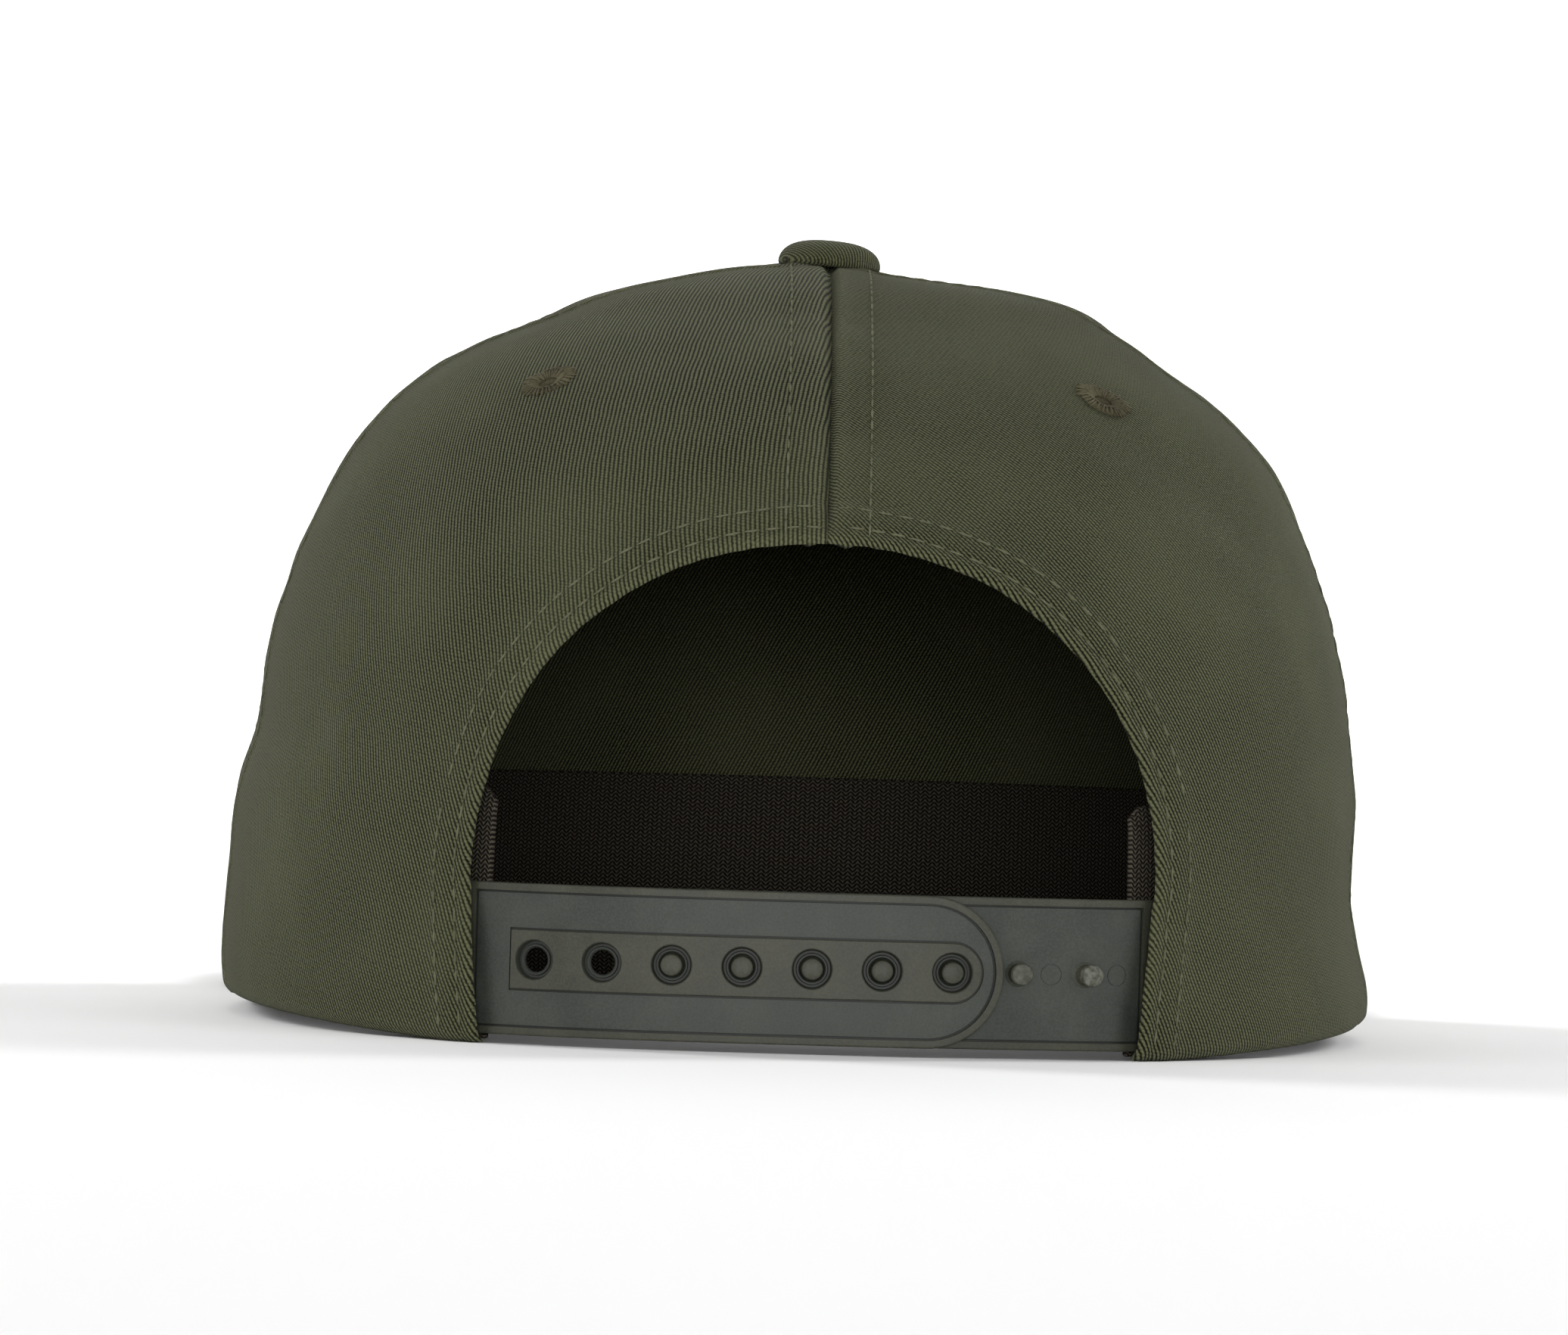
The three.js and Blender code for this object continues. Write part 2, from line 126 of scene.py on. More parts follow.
def bisect(low, high, is_low):
    for _ in range(32):
        middle = (low + high) / 2
        if is_low(middle):
            low = middle
        else:
            high = middle
    return low


def into_frame(bm):
    """Turns a bmesh in millimetres round the crown's axis into metres in the shared frame."""
    bmesh.ops.translate(bm, verts=bm.verts, vec=(0, CROWN_Y, 0))
    bmesh.ops.scale(bm, verts=bm.verts, vec=(MM, MM, MM))


print("the crown's axis stands at y =", round(CROWN_Y * MM, 4), "m")

# %% [markdown]
# ## The crown as a formula
#
# The crown's shape is a stack of rounded ovals. Each section says how wide and how deep the oval is at a
# height, and a smooth curve runs through the sections. An azimuth, turned from the back seam towards the
# wearer's left, and a rise from the rim to the top then give any point of the cloth, and its outward
# direction.

# %% The crown's surface
def section_value(column, rise):
    last = len(SECTIONS) - 1
    along = min(max(rise, 0.0), 1.0) * last
    row = min(int(along), last - 1)
    t = along - row
    b = SECTIONS[row][column]
    c = SECTIONS[row + 1][column]
    a = SECTIONS[row - 1][column] if row > 0 else 2 * b - c
    d = SECTIONS[row + 2][column] if row + 2 <= last else 2 * c - b
    return b + 0.5 * t * (c - a + t * (2 * a - 5 * b + 4 * c - d + t * (3 * (b - c) + d - a)))


UP, LEFT, RIGHT, FRONT, BACK = range(5)


def plan_radius(azimuth, rise):
    side, back = math.sin(azimuth), math.cos(azimuth)
    half_width = CROWN_HALF_WIDTH * section_value(LEFT if side > 0 else RIGHT, rise)
    if back > 0:
        depth = CROWN_BACK_DEPTH * section_value(BACK, rise)
    else:
        depth = CROWN_FRONT_DEPTH * section_value(FRONT, rise)
    across = abs(side / max(half_width, 1e-6)) ** PLAN_EXPONENT
    along = abs(back / max(depth, 1e-6)) ** PLAN_EXPONENT
    return (across + along) ** (-1 / PLAN_EXPONENT)


def curl(azimuth, up):
    """How far the sides of the rim curl up, dying out up the crown."""
    from_back = math.degrees(abs(math.atan2(math.sin(azimuth), math.cos(azimuth))))
    growing = min(max((from_back - RIM_LIFT_FROM) / (RIM_LIFT_FULL - RIM_LIFT_FROM), 0.0), 1.0)
    ending = 1 - smooth(from_back, RIM_LIFT_FULL, RIM_LIFT_END)
    return RIM_LIFT * math.sin(growing * math.pi / 2) * ending * (1 - min(up, 1.0)) ** RIM_LIFT_FADE


def crown_face(azimuth, rise):
    radius = plan_radius(azimuth, rise)
    up = section_value(UP, rise)
    x = radius * math.sin(azimuth)
    tilt = TOP_TILT * x * (1 - smooth(radius, TOP_TILT_FROM, TOP_TILT_TO))
    z = up * CROWN_HEIGHT + tilt + curl(azimuth, up)
    return Vector((x - TOP_LEAN * up**2, radius * math.cos(azimuth), z))


def crown_outward(azimuth, rise):
    step = 1e-3
    at = min(rise, 1 - 2 * step)
    across = crown_face(azimuth + step, at) - crown_face(azimuth - step, at)
    climb = crown_face(azimuth, at + step) - crown_face(azimuth, max(at - step, 0))
    return climb.cross(across).normalized()


def rise_at_height(height):
    return bisect(0.0, 1.0, lambda rise: section_value(UP, rise) * CROWN_HEIGHT < height)


def azimuth_at_x(x, rise, inset=0.0):
    side = math.copysign(1, x)

    def inside(azimuth):
        at = crown_face(azimuth * side, rise) - crown_outward(azimuth * side, rise) * inset
        return at.x * side < abs(x)

    return side * bisect(0.0, math.pi / 2, inside)


print("the crown is", round(2 * plan_radius(math.pi / 2, 0.07)), "mm wide near its rim")

# %% [markdown]
# ## The opening and the seams
#
# The opening is half an oval over two nearly upright edges. Its outline is kept as a list of azimuths and
# rises, spaced evenly along the cloth, because the hem, its stitches and the panels' own grids all start
# from it. A seam is simpler: it runs up the crown at one azimuth.

# %% Outline of the opening
OPENING_HALF_WIDTH = 45.2
OPENING_RIM_HALF_WIDTH = 43.3
OPENING_HEIGHT = 66.8
OPENING_SHOULDER = 22.0
OPENING_EXPONENT = 2.1
BACK_SPAN = math.radians(82)
FRONT_SPAN = math.radians(90)
SEAM_GAP = 0.02
SIDE_SEAM = BACK_SPAN
FRONT_SEAM = math.pi - FRONT_SPAN / 2
TOP_RISE = 0.997
UPRIGHT_STEPS = 14
ARCH_STEPS = 60
SEAM_STEPS = 160
HEM_POINTS = 400


def distances_along(places):
    """How far along a line each of its places is."""
    run = [0.0]
    for a, b in zip(places, places[1:]):
        run.append(run[-1] + (b - a).length)
    return run


def evenly(points, count):
    """Points along a polyline at equal steps of length. A point is (azimuth, rise)."""
    run = distances_along([crown_face(*point) for point in points])
    result, k = [], 0
    for i in range(count + 1):
        target = run[-1] * i / count
        while k < len(run) - 2 and run[k + 1] < target:
            k += 1
        share = (target - run[k]) / max(run[k + 1] - run[k], 1e-9)
        result.append(tuple(mix(a, b, share) for a, b in zip(points[k], points[k + 1])))
    return result, run[-1]


def opening_outline(side):
    points = []
    for i in range(UPRIGHT_STEPS):
        height = OPENING_SHOULDER * i / UPRIGHT_STEPS
        points.append((mix(OPENING_RIM_HALF_WIDTH, OPENING_HALF_WIDTH, i / UPRIGHT_STEPS), height))
    for i in range(ARCH_STEPS + 1):
        turn = math.pi / 2 * i / ARCH_STEPS
        x = math.cos(turn) ** (2 / OPENING_EXPONENT) * OPENING_HALF_WIDTH
        reach = math.sin(turn) ** (2 / OPENING_EXPONENT)
        points.append((max(x, 0.0), OPENING_SHOULDER + reach * (OPENING_HEIGHT - OPENING_SHOULDER)))
    outline = []
    for x, height in points:
        rise = rise_at_height(height)
        x_here = side * x - TOP_LEAN * (height / CROWN_HEIGHT) ** 2
        if x < 0.2:
            outline.append((side * SEAM_GAP / 2 / plan_radius(0, rise), rise))
        else:
            outline.append((azimuth_at_x(x_here, rise), rise))
    return outline


def seam_line(azimuth, start_rise=0.0):
    return [(azimuth, mix(start_rise, TOP_RISE, i / SEAM_STEPS)) for i in range(SEAM_STEPS + 1)]


OUTLINES = {side: opening_outline(side) for side in (1, -1)}
ARCH_RISE = OUTLINES[1][-1][1]
hem_tree = KDTree(2 * (HEM_POINTS + 1))
for side in (1, -1):
    for i, point in enumerate(evenly(OUTLINES[side], HEM_POINTS)[0]):
        hem_tree.insert(crown_face(*point), i)
hem_tree.balance()
print("the hem of the opening is", round(2 * evenly(OUTLINES[1], HEM_POINTS)[1]), "mm long")

# %% [markdown]
# ## Cloth relief
#
# Sewing shapes the cloth by tenths of a millimetre. Beside a seam the turned allowance lifts it, each row
# of stitches pulls it down again with a dimple at every stitch, and along a fold it rolls over the edge.
# Between the seams it only waves a little. All of this is one function of how far a point is from seams,
# hem and rim.

# %% Relief of the sewn cloth
SEAM_ROW = 5.5
HEM_ROWS = (2.35, 5.85)
STITCH_PITCH = 2.7
ALLOWANCE_LIFT = 0.34
HEM_LIFT = 0.42
ROW_DIP = 0.2
SEAM_GROOVE = 0.62
HEM_ROLL, HEM_ROLL_WIDTH = 0.85, 1.1
CLOTH_SINK = 0.5


def dimple(along):
    """The share of its full dip that a row of stitches has, deepest at each stitch."""
    return 0.72 + 0.28 * math.cos(2 * math.pi * along / STITCH_PITCH)


def seam_relief(distance, along):
    groove = -SEAM_GROOVE * bell(distance, 0.75)
    under_allowance = 1 - smooth(distance, SEAM_ROW - 0.1, SEAM_ROW + 1.4)
    lift = ALLOWANCE_LIFT * smooth(distance, 0.2, 1.2) * under_allowance
    row = -ROW_DIP * dimple(along) * bell(distance - SEAM_ROW, 0.62)
    return groove + lift + row


def hem_relief(distance, along):
    roll = -HEM_ROLL * max(0.0, 1 - distance / HEM_ROLL_WIDTH) ** 2
    lift = HEM_LIFT * (1 - smooth(distance, HEM_ROWS[1] + 0.1, HEM_ROWS[1] + 1.5))
    rows = sum(bell(distance - row, 0.6) for row in HEM_ROWS)
    return roll + lift - ROW_DIP * dimple(along) * rows


def cloth_wave(place, near_sewing):
    broad = noise.noise(place / 34.0) * 0.55 + noise.noise(place / 17.0 + Vector((7, 1, 3))) * 0.22
    puckers = noise.noise(place / 5.2 + Vector((3, 9, 4))) * 0.2 * near_sewing
    return broad + puckers


def side_dent(place):
    """The hollow high on the wearer's right, the crease on the left and the slack low on the right."""
    hollow = -1.5 * bell((place - Vector((-50, 50, 82))).length, 17)
    crease = -0.7 * bell(place.z - 40, 7) * smooth(place.x, 40, 66) * smooth(place.y, -40, 20)
    slack = -0.9 * bell(place.z - 22, 19) * smooth(-place.x, 40, 66) * smooth(place.y, -60, 0)
    return hollow + crease + slack


# %% [markdown]
# ## Shader maths as plain expressions
#
# A small class wraps a shader socket, so a pattern can be written as a formula and each operator adds its
# Math node. Everything else comes from one method that makes a node, sets it up and fills its sockets.

# %% A wrapper for shader sockets
class Value:
    def __init__(self, finish, socket):
        self.finish, self.socket = finish, socket

    def math(self, operation, *others):
        sockets = {0: self}
        sockets.update({i + 1: other for i, other in enumerate(others)})
        node = self.finish.add("ShaderNodeMath", {"operation": operation}, sockets)
        return Value(self.finish, node.outputs[0])

    def __add__(self, other):
        return self.math("ADD", other)

    def __mul__(self, other):
        return self.math("MULTIPLY", other)

    def __sub__(self, other):
        return self.math("SUBTRACT", other)

    def __truediv__(self, other):
        return self.math("DIVIDE", other)

    def __rsub__(self, other):
        return (self * -1) + other

    __radd__, __rmul__ = __add__, __mul__

    def cosine_wave(self):
        """0 to 1 and back for each whole step of the value, 1 at whole numbers."""
        return (self * (2 * math.pi)).math("COSINE") * 0.5 + 0.5

    def floor(self):
        return self.math("FLOOR")

    def smooth(self, low, high):
        node = self.finish.add(
            "ShaderNodeMapRange",
            {"interpolation_type": "SMOOTHSTEP"},
            {"Value": self, "From Min": low, "From Max": high},
        )
        return Value(self.finish, node.outputs["Result"])


class Finish:
    """A material, with its Principled shader and the methods that build patterns for it."""

    def __init__(self, name, constants):
        self.material = bpy.data.materials.new(name)
        self.material.use_nodes = True
        self.tree = self.material.node_tree
        self.tree.nodes.clear()
        self.shader = self.add("ShaderNodeBsdfPrincipled", {}, constants)
        output = self.add("ShaderNodeOutputMaterial")
        self.tree.links.new(self.shader.outputs[0], output.inputs["Surface"])

    def add(self, kind, settings=None, sockets=None):
        node = self.tree.nodes.new(kind)
        for name, value in (settings or {}).items():
            setattr(node, name, value)
        for name, value in (sockets or {}).items():
            if isinstance(value, Value):
                self.tree.links.new(value.socket, node.inputs[name])
            else:
                node.inputs[name].default_value = value
        return node

    def value(self, node, output=0):
        return Value(self, node.outputs[output])

    def cloth_xy(self):
        """The flat cloth's own two coordinates, in millimetres."""
        uv = self.value(self.add("ShaderNodeUVMap", {"uv_map": "cloth"}), "UV")
        split = self.add("ShaderNodeSeparateXYZ", {}, {"Vector": uv})
        return self.value(split, "X"), self.value(split, "Y")

    def speckle(self, scale, detail=2.0, uv=None):
        """Noise from 0 to 1, by the object's own coordinates or by the flat cloth's."""
        if uv is None:
            place = self.value(self.add("ShaderNodeTexCoord"), "Object")
        else:
            place = self.value(self.add("ShaderNodeUVMap", {"uv_map": uv}), "UV")
        node = self.add("ShaderNodeTexNoise", {}, {"Vector": place, "Scale": scale, "Detail": detail})
        return self.value(node, "Fac")

    def attribute(self, name):
        return self.value(self.add("ShaderNodeAttribute", {"attribute_name": name}), "Fac")

    def blend(self, share, low, high):
        """A colour between two colours or links."""
        node = self.add("ShaderNodeMix", {"data_type": "RGBA"}, {0: share})
        for socket, colour in ((node.inputs[6], low), (node.inputs[7], high)):
            if isinstance(colour, Value):
                self.tree.links.new(colour.socket, socket)
            else:
                socket.default_value = (*colour, 1)
        return self.value(node, 2)

    def feed(self, **links):
        for name, value in links.items():
            self.tree.links.new(value.socket, self.shader.inputs[name.replace("_", " ")])

    def bump(self, height, depth):
        """Relief of a given depth in metres."""
        node = self.add("ShaderNodeBump", {}, {"Height": height, "Distance": depth, "Strength": 1.0})
        self.feed(Normal=self.value(node))


# %% [markdown]
# ## Twill
#
# Twill shows fine ribs that run aslant, here 27 degrees from the cloth's upright threads and leaning left.
# A cosine across the ribs makes ridges and furrows, and a second one along each rib breaks it into the
# short floats of yarn. The furrows and the dips between the floats get painted shade, the yarn is a little
# uneven, and folded edges are rubbed lighter. The pattern reads the flat cloth's coordinates, so that it
# turns with each panel as cut cloth does.

# %% The twill finish
RIB_LEAN = math.radians(27)
RIB_PITCH = 0.55
FLOAT_LENGTH = 0.55
RIB_DEPTH = 0.16 * MM
# Painted shade: the dark colour that the twill's furrows and the dips between floats are painted.
FURROW_SHADE = (0.004, 0.0038, 0.0014)
RIDGE_COLOUR = (0.1, 0.1055, 0.0525)
RUBBED_COLOUR = (0.118, 0.124, 0.068)


def twill_finish(name):
    dull = {"Roughness": 0.93, "Specular IOR Level": 0.1, "Sheen Weight": 0.03, "Sheen Roughness": 0.5}
    finish = Finish(name, dull)
    x, y = finish.cloth_xy()
    drift = (finish.speckle(0.11, 2.0, "cloth") - 0.5) * 0.9
    rib = (x * math.cos(RIB_LEAN) + y * math.sin(RIB_LEAN)) / RIB_PITCH + drift
    along = (y * math.cos(RIB_LEAN) - x * math.sin(RIB_LEAN)) / FLOAT_LENGTH
    ridge = rib.cosine_wave()
    floats = (along + (rib + 0.5).floor() * 0.37 + rib * 0.35).cosine_wave()
    height = ridge * (0.5 + 0.5 * floats)
    yarn = finish.speckle(2.6, 3.0, "cloth")
    # Painted shade: the lower the weave's relief, the closer its colour comes to the furrows' dark colour.
    shade = (height + (yarn - 0.5) * 0.9).smooth(0.0, 0.8)
    cloth = finish.blend(shade, FURROW_SHADE, RIDGE_COLOUR)
    patches = finish.speckle(38.0, 3.0).smooth(0.35, 0.75) * 0.16
    paler_share = finish.attribute("rubbed") * shade * 0.55 + patches
    finish.feed(Base_Color=finish.blend(paler_share, cloth, RUBBED_COLOUR))
    finish.bump(height + yarn * 0.35, RIB_DEPTH)
    return finish.material


twill = twill_finish("olive_twill")
print("twill ribs every", RIB_PITCH, "mm")

# %% [markdown]
# ## Thread, knitted tape and moulded plastic
#
# The stitches are the cloth's own colour, with the twist of the yarn as a fine change of shade. The eyelets
# are sewn in a browner thread. The sweatband is a tape knitted in a zigzag of beige over near-black. The
# strap is a satin plastic with the faint unevenness of its mould. Layers on its mesh tell the shader where
# it stands proud, where to paint shade into the floors of its grooves and seats, and where to paint a
# highlight on the tips of the free studs.

# %% Finishes of the threads
def thread_finish(name, dark, light):
    finish = Finish(name, {"Roughness": 0.85, "Specular IOR Level": 0.2})
    strands = finish.speckle(5200.0, 2.0)
    paler_share = finish.speckle(160.0, 2.0).smooth(0.3, 0.7) * 0.35
    finish.feed(Base_Color=finish.blend(strands * 0.8 + paler_share, dark, light))
    finish.bump(strands, 0.06 * MM)
    return finish.material


seam_thread = thread_finish("olive_thread", (0.045, 0.045, 0.024), (0.14, 0.141, 0.086))
eyelet_thread = thread_finish("brown_thread", (0.012, 0.0105, 0.005), (0.125, 0.112, 0.064))
print("threads:", seam_thread.name, "and", eyelet_thread.name)

# %% The finish of the sweatband
ZIGZAG_WIDTH = 1.3
COURSE_HEIGHT = 0.62
WALE_WIDTH = 0.65
TAPE_DARK = (0.0035, 0.0028, 0.0018)
TAPE_BEIGE = (0.085, 0.074, 0.055)


def tape_finish(name):
    finish = Finish(name, {"Roughness": 0.95, "Specular IOR Level": 0.15})
    x, y = finish.cloth_xy()
    across = x / ZIGZAG_WIDTH
    zigzag = (across - across.floor() - 0.5).math("ABSOLUTE")
    courses = (y / COURSE_HEIGHT + zigzag * 2.2).cosine_wave()
    wales = (x / WALE_WIDTH).cosine_wave()
    knit = courses * 0.7 + wales * 0.3
    flecks = finish.speckle(2.2, 3.0, "cloth")
    shade = (knit * 0.7 + flecks * 0.5).smooth(0.4, 1.0)
    finish.feed(Base_Color=finish.blend(shade, TAPE_DARK, TAPE_BEIGE))
    finish.bump(knit + flecks * 0.6, 0.12 * MM)
    return finish.material


knit_tape = tape_finish("dark_tape")
print("the zigzag of the tape repeats every", ZIGZAG_WIDTH, "mm")

# %% The finish of the strap
FIELD_COLOURS = ((0.025, 0.029, 0.024), (0.048, 0.053, 0.044))
RAISED_COLOURS = ((0.027, 0.0285, 0.019), (0.053, 0.054, 0.038))
# Painted shade: the dark colour put on the floors of the grooves and seats and on the low sides.
PIT_SHADE_COLOUR = (0.009, 0.01, 0.007)
# Painted highlight: the pale colour put on the tips of the free studs.
STUD_HIGHLIGHT_COLOUR = (0.12, 0.124, 0.1)


def plastic_finish(name):
    finish = Finish(name, {"Specular IOR Level": 0.3})
    clouds = finish.speckle(140.0, 3.0)
    grain = finish.speckle(3600.0, 3.0)
    mottle = clouds.smooth(0.3, 0.7) * 0.5 + grain.smooth(0.3, 0.7) * 0.5
    low = finish.blend(mottle, *FIELD_COLOURS)
    high = finish.blend(mottle, *RAISED_COLOURS)
    open_face = finish.blend(finish.attribute("raised").smooth(0.2, 0.8), low, high)
    # Painted shade on the floors of the grooves and seats and on the low sides of the strap.
    shaded_in_pits = finish.blend(finish.attribute("pit_shade") * 0.6, open_face, PIT_SHADE_COLOUR)
    # A mottled painted highlight on the tips of the free studs.
    tip_highlight = finish.speckle(1500.0, 2.0).smooth(0.3, 0.7) * finish.attribute("stud_highlight").smooth(0.3, 0.7)
    finish.feed(Base_Color=finish.blend(tip_highlight, shaded_in_pits, STUD_HIGHLIGHT_COLOUR))
    finish.feed(Roughness=clouds * 0.14 + grain * 0.1 + 0.42)
    finish.bump(grain * 0.5 + clouds, 0.03 * MM)
    return finish.material


strap_plastic = plastic_finish("strap_plastic")
print("finishes:", [material.name for material in bpy.data.materials])

# %% [markdown]
# ## From bmesh to a finished piece
#
# Every piece ends the same way: it gets its material and its smooth shading, and rides on the cap's one
# body. It stands for its node of the solid model, unless it is stitching, which the solid model leaves out.
# A sheet of cloth also keeps its place on the flat cloth as a UV map, faces outwards, and gets a wall and
# soft edges.

# %% Finishing a piece
def object_of(bm, name):
    mesh = bpy.data.meshes.new(name)
    bm.to_mesh(mesh)
    bm.free()
    made = bpy.data.objects.new(name, mesh)
    scene.collection.objects.link(made)
    return made


def smooth_object(bm, name, material):
    made = object_of(bm, name)
    for polygon in made.data.polygons:
        polygon.use_smooth = True
    made.data.materials.append(material)
    return made


def finished(name, bm, material, nodes=()):
    into_frame(bm)
    piece = smooth_object(bm, name, material)
    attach(piece, "root")
    if nodes:
        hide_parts(*nodes)
    return piece


def face_towards(bm, wanted):
    """Turns a sheet round if most of its faces look away from the direction wanted at their place."""
    if sum(face.normal.dot(wanted(face.calc_center_median())) for face in bm.faces) < 0:
        bmesh.ops.reverse_faces(bm, faces=bm.faces)


def lay_flat(bm, flat_place):
    """Keeps each corner's place on the flat cloth, in millimetres, as the UV map that the patterns read."""
    uv = bm.loops.layers.uv.new("cloth")
    for face in bm.faces:
        for loop in face.loops:
            loop[uv].uv = flat_place(loop.vert)


def thickened(piece, thickness):
    wall = piece.modifiers.new("thickness", "SOLIDIFY")
    wall.thickness = thickness * MM
    wall.offset = -1.0
    wall.use_even_offset = False
    return piece


def soft_edged(piece, width, segments):
    edge = piece.modifiers.new("edge", "BEVEL")
    edge.width = width * MM
    edge.segments = segments
    edge.angle_limit = math.radians(50)
    return piece


def shape_applied(piece):
    """Makes the shape that the modifiers give the piece's own mesh."""
    bpy.context.view_layer.update()
    shaped = piece.evaluated_get(bpy.context.evaluated_depsgraph_get())
    mesh = bpy.data.meshes.new_from_object(shaped)
    piece.modifiers.clear()
    piece.data = mesh
    return mesh


# %% [markdown]
# ## The panels
#
# A panel is a grid bent to the crown. Its columns run between two seams, closer together beside the seams
# where the cloth has its detail, and its rows run from the rim to the button. On a back panel the first
# column follows the edge of the opening and then the back seam, so the rows fan out from the arch and the
# hem gets a clean edge. Where an eyelet sits, a few faces are taken out for its hole.

# %% The flat cloth of a panel
def flat_cloth(start, end, side):
    """A function from (azimuth, rise) to the uncut cloth's millimetres, right and up from outside."""
    rows, halves = 64, 24
    margin = 0.02
    middle, reach = side * (start + end) / 2, (end - start) / 2 + margin
    heights, runs = [0.0], []
    for i in range(rows + 1):
        rise = TOP_RISE * i / rows
        ring = [crown_face(middle + reach * k / halves, rise) for k in range(-halves, halves + 1)]
        run = distances_along(ring)
        runs.append([length - run[halves] for length in run])
        if i:
            heights.append(heights[-1] + (ring[halves] - last_ring[halves]).length)
        last_ring = ring

    def place(azimuth, rise):
        along = min(max(rise / TOP_RISE, 0.0), 1.0) * rows
        across = min(max((azimuth - middle) / reach, -1.0), 1.0) * halves + halves
        i, k = min(int(along), rows - 1), min(int(across), 2 * halves - 1)
        low = mix(runs[i][k], runs[i][k + 1], across - k)
        high = mix(runs[i + 1][k], runs[i + 1][k + 1], across - k)
        return -mix(low, high, along - i), mix(heights[i], heights[i + 1], along - i)

    return place


# %% Grids for the panels
SEAM_SHARE = 0.075
SEAM_COLUMNS = 15
BACK_COLUMNS = 46
SIDE_COLUMNS = 24
EDGE_POINTS = 900
ARCH_POINTS = 300
RIM_ZONE = (2.4, 0.4)
ARCH_STEP = 1.25
HEM_ZONE, HEM_STEP = 8, 0.5
CROWN_STEP = 1.5
GAP_RADIUS = 60


def graded_shares(middle_columns):
    edge = [SEAM_SHARE * i / SEAM_COLUMNS for i in range(SEAM_COLUMNS)]
    middle = [mix(SEAM_SHARE, 1 - SEAM_SHARE, i / middle_columns) for i in range(middle_columns)]
    return edge + middle + [1 - share for share in reversed(edge)]


def stepped(length, zones):
    """Distances from 0 to length. A zone is (how far it reaches, its step)."""
    marks, at = [0.0], 0.0
    for reach, step in zones:
        end = min(reach, length)
        count = max(1, round((end - at) / step)) if end > at else 0
        marks += [mix(at, end, (i + 1) / count) for i in range(count)]
        at = end
    return marks


def at_share(points, share):
    """The (azimuth, rise) at a share of an evenly spaced line."""
    along = share * (len(points) - 1)
    k = min(int(along), len(points) - 2)
    return tuple(mix(a, b, along - k) for a, b in zip(points[k], points[k + 1]))


def panel_lines(start, end, side):
    """The two lines that a panel's rows run between, and the rows' shares of the first one's length."""
    clear = SEAM_GAP / 2 / GAP_RADIUS
    if start == 0:
        arch = evenly(OUTLINES[side], ARCH_POINTS)[1]
        first, length = evenly(OUTLINES[side] + seam_line(side * clear, ARCH_RISE)[1:], EDGE_POINTS)
        zones = [RIM_ZONE, (arch, ARCH_STEP), (arch + HEM_ZONE, HEM_STEP), (length, CROWN_STEP)]
    else:
        first, length = evenly(seam_line(side * (start + clear)), EDGE_POINTS)
        zones = [RIM_ZONE, (length, CROWN_STEP)]
    last = evenly(seam_line(side * (end - clear)), EDGE_POINTS)[0]
    return first, last, [row / length for row in stepped(length, zones)]


# %% One panel
PUCKER_FROM, PUCKER_TO = 5, 11
FOLD_WIDTH = 1.6
RIM_ROLL = 0.9
UNDER_BUTTON_FROM, UNDER_BUTTON_TO = 98, 105
HEM_POINT_STEP = 0.33
EYELET_CUT = 2.1
CROWN_MIDDLE = Vector((0, 0, 40))
outer_trees = []


def panel(name, start, end, side, middle_columns, eyelet=None, seams=()):
    first, last, row_shares = panel_lines(start, end, side)
    shares = graded_shares(middle_columns)
    bm = bmesh.new()
    bmesh.ops.create_grid(bm, x_segments=len(shares) - 1, y_segments=len(row_shares) - 1, size=1.0)
    rubbed = bm.verts.layers.float.new("rubbed")
    to_flat = flat_cloth(start, end, side)
    flat = {}
    for vert in bm.verts:
        column = shares[round((vert.co.x + 1) / 2 * (len(shares) - 1))]
        row = row_shares[round((vert.co.y + 1) / 2 * (len(row_shares) - 1))]
        a, b = at_share(first, row), at_share(last, row)
        azimuth, rise = mix(a[0], b[0], column), mix(a[1], b[1], column)
        place = crown_face(azimuth, rise)
        outward = crown_outward(azimuth, rise)
        flat[vert.index] = to_flat(azimuth, rise)
        lift, near, edge = 0.0, 0.0, 0.0
        _, spot, from_hem = hem_tree.find(place)
        for seam in seams:
            seam_rise = max(rise, ARCH_RISE) if seam == 0 else rise
            distance = (place - crown_face(side * seam, seam_rise)).length
            lift += seam_relief(distance, place.z + abs(place.y) * 0.6) * smooth(from_hem, 0, HEM_ROWS[1])
            near = max(near, 1 - smooth(distance, PUCKER_FROM, PUCKER_TO))
            edge = max(edge, bell(distance - FOLD_WIDTH, 1.0) * 0.6)
        if start == 0:
            lift += hem_relief(from_hem, spot * HEM_POINT_STEP)
            near = max(near, 1 - smooth(from_hem, PUCKER_FROM, PUCKER_TO))
            edge = max(edge, bell(from_hem, FOLD_WIDTH))
        from_rim = place.z - curl(azimuth, 0)
        edge = max(edge, bell(from_rim, FOLD_WIDTH))
        lift -= RIM_ROLL * max(0.0, 1 - from_rim / FOLD_WIDTH) ** 2
        under_button = smooth(place.z, UNDER_BUTTON_FROM, UNDER_BUTTON_TO)
        lift += (cloth_wave(place, near) + side_dent(place)) * smooth(from_rim, 0, 9) * (1 - under_button)
        lift -= CLOTH_SINK * (1 - under_button)
        vert[rubbed] = edge
        vert.co = place + outward * lift
    bm.normal_update()
    face_towards(bm, lambda centre: centre - CROWN_MIDDLE)
    lay_flat(bm, lambda vert: flat[vert.index])
    if eyelet:
        hole = [face for face in bm.faces if (face.calc_center_median() - eyelet).length < EYELET_CUT]
        bmesh.ops.delete(bm, geom=hole, context="FACES")
    outer_trees.append(BVHTree.FromBMesh(bm))
    print(name, "has", len(bm.faces), "faces a side")
    return thickened(finished(name, bm, twill, [name]), CLOTH_THICKNESS)


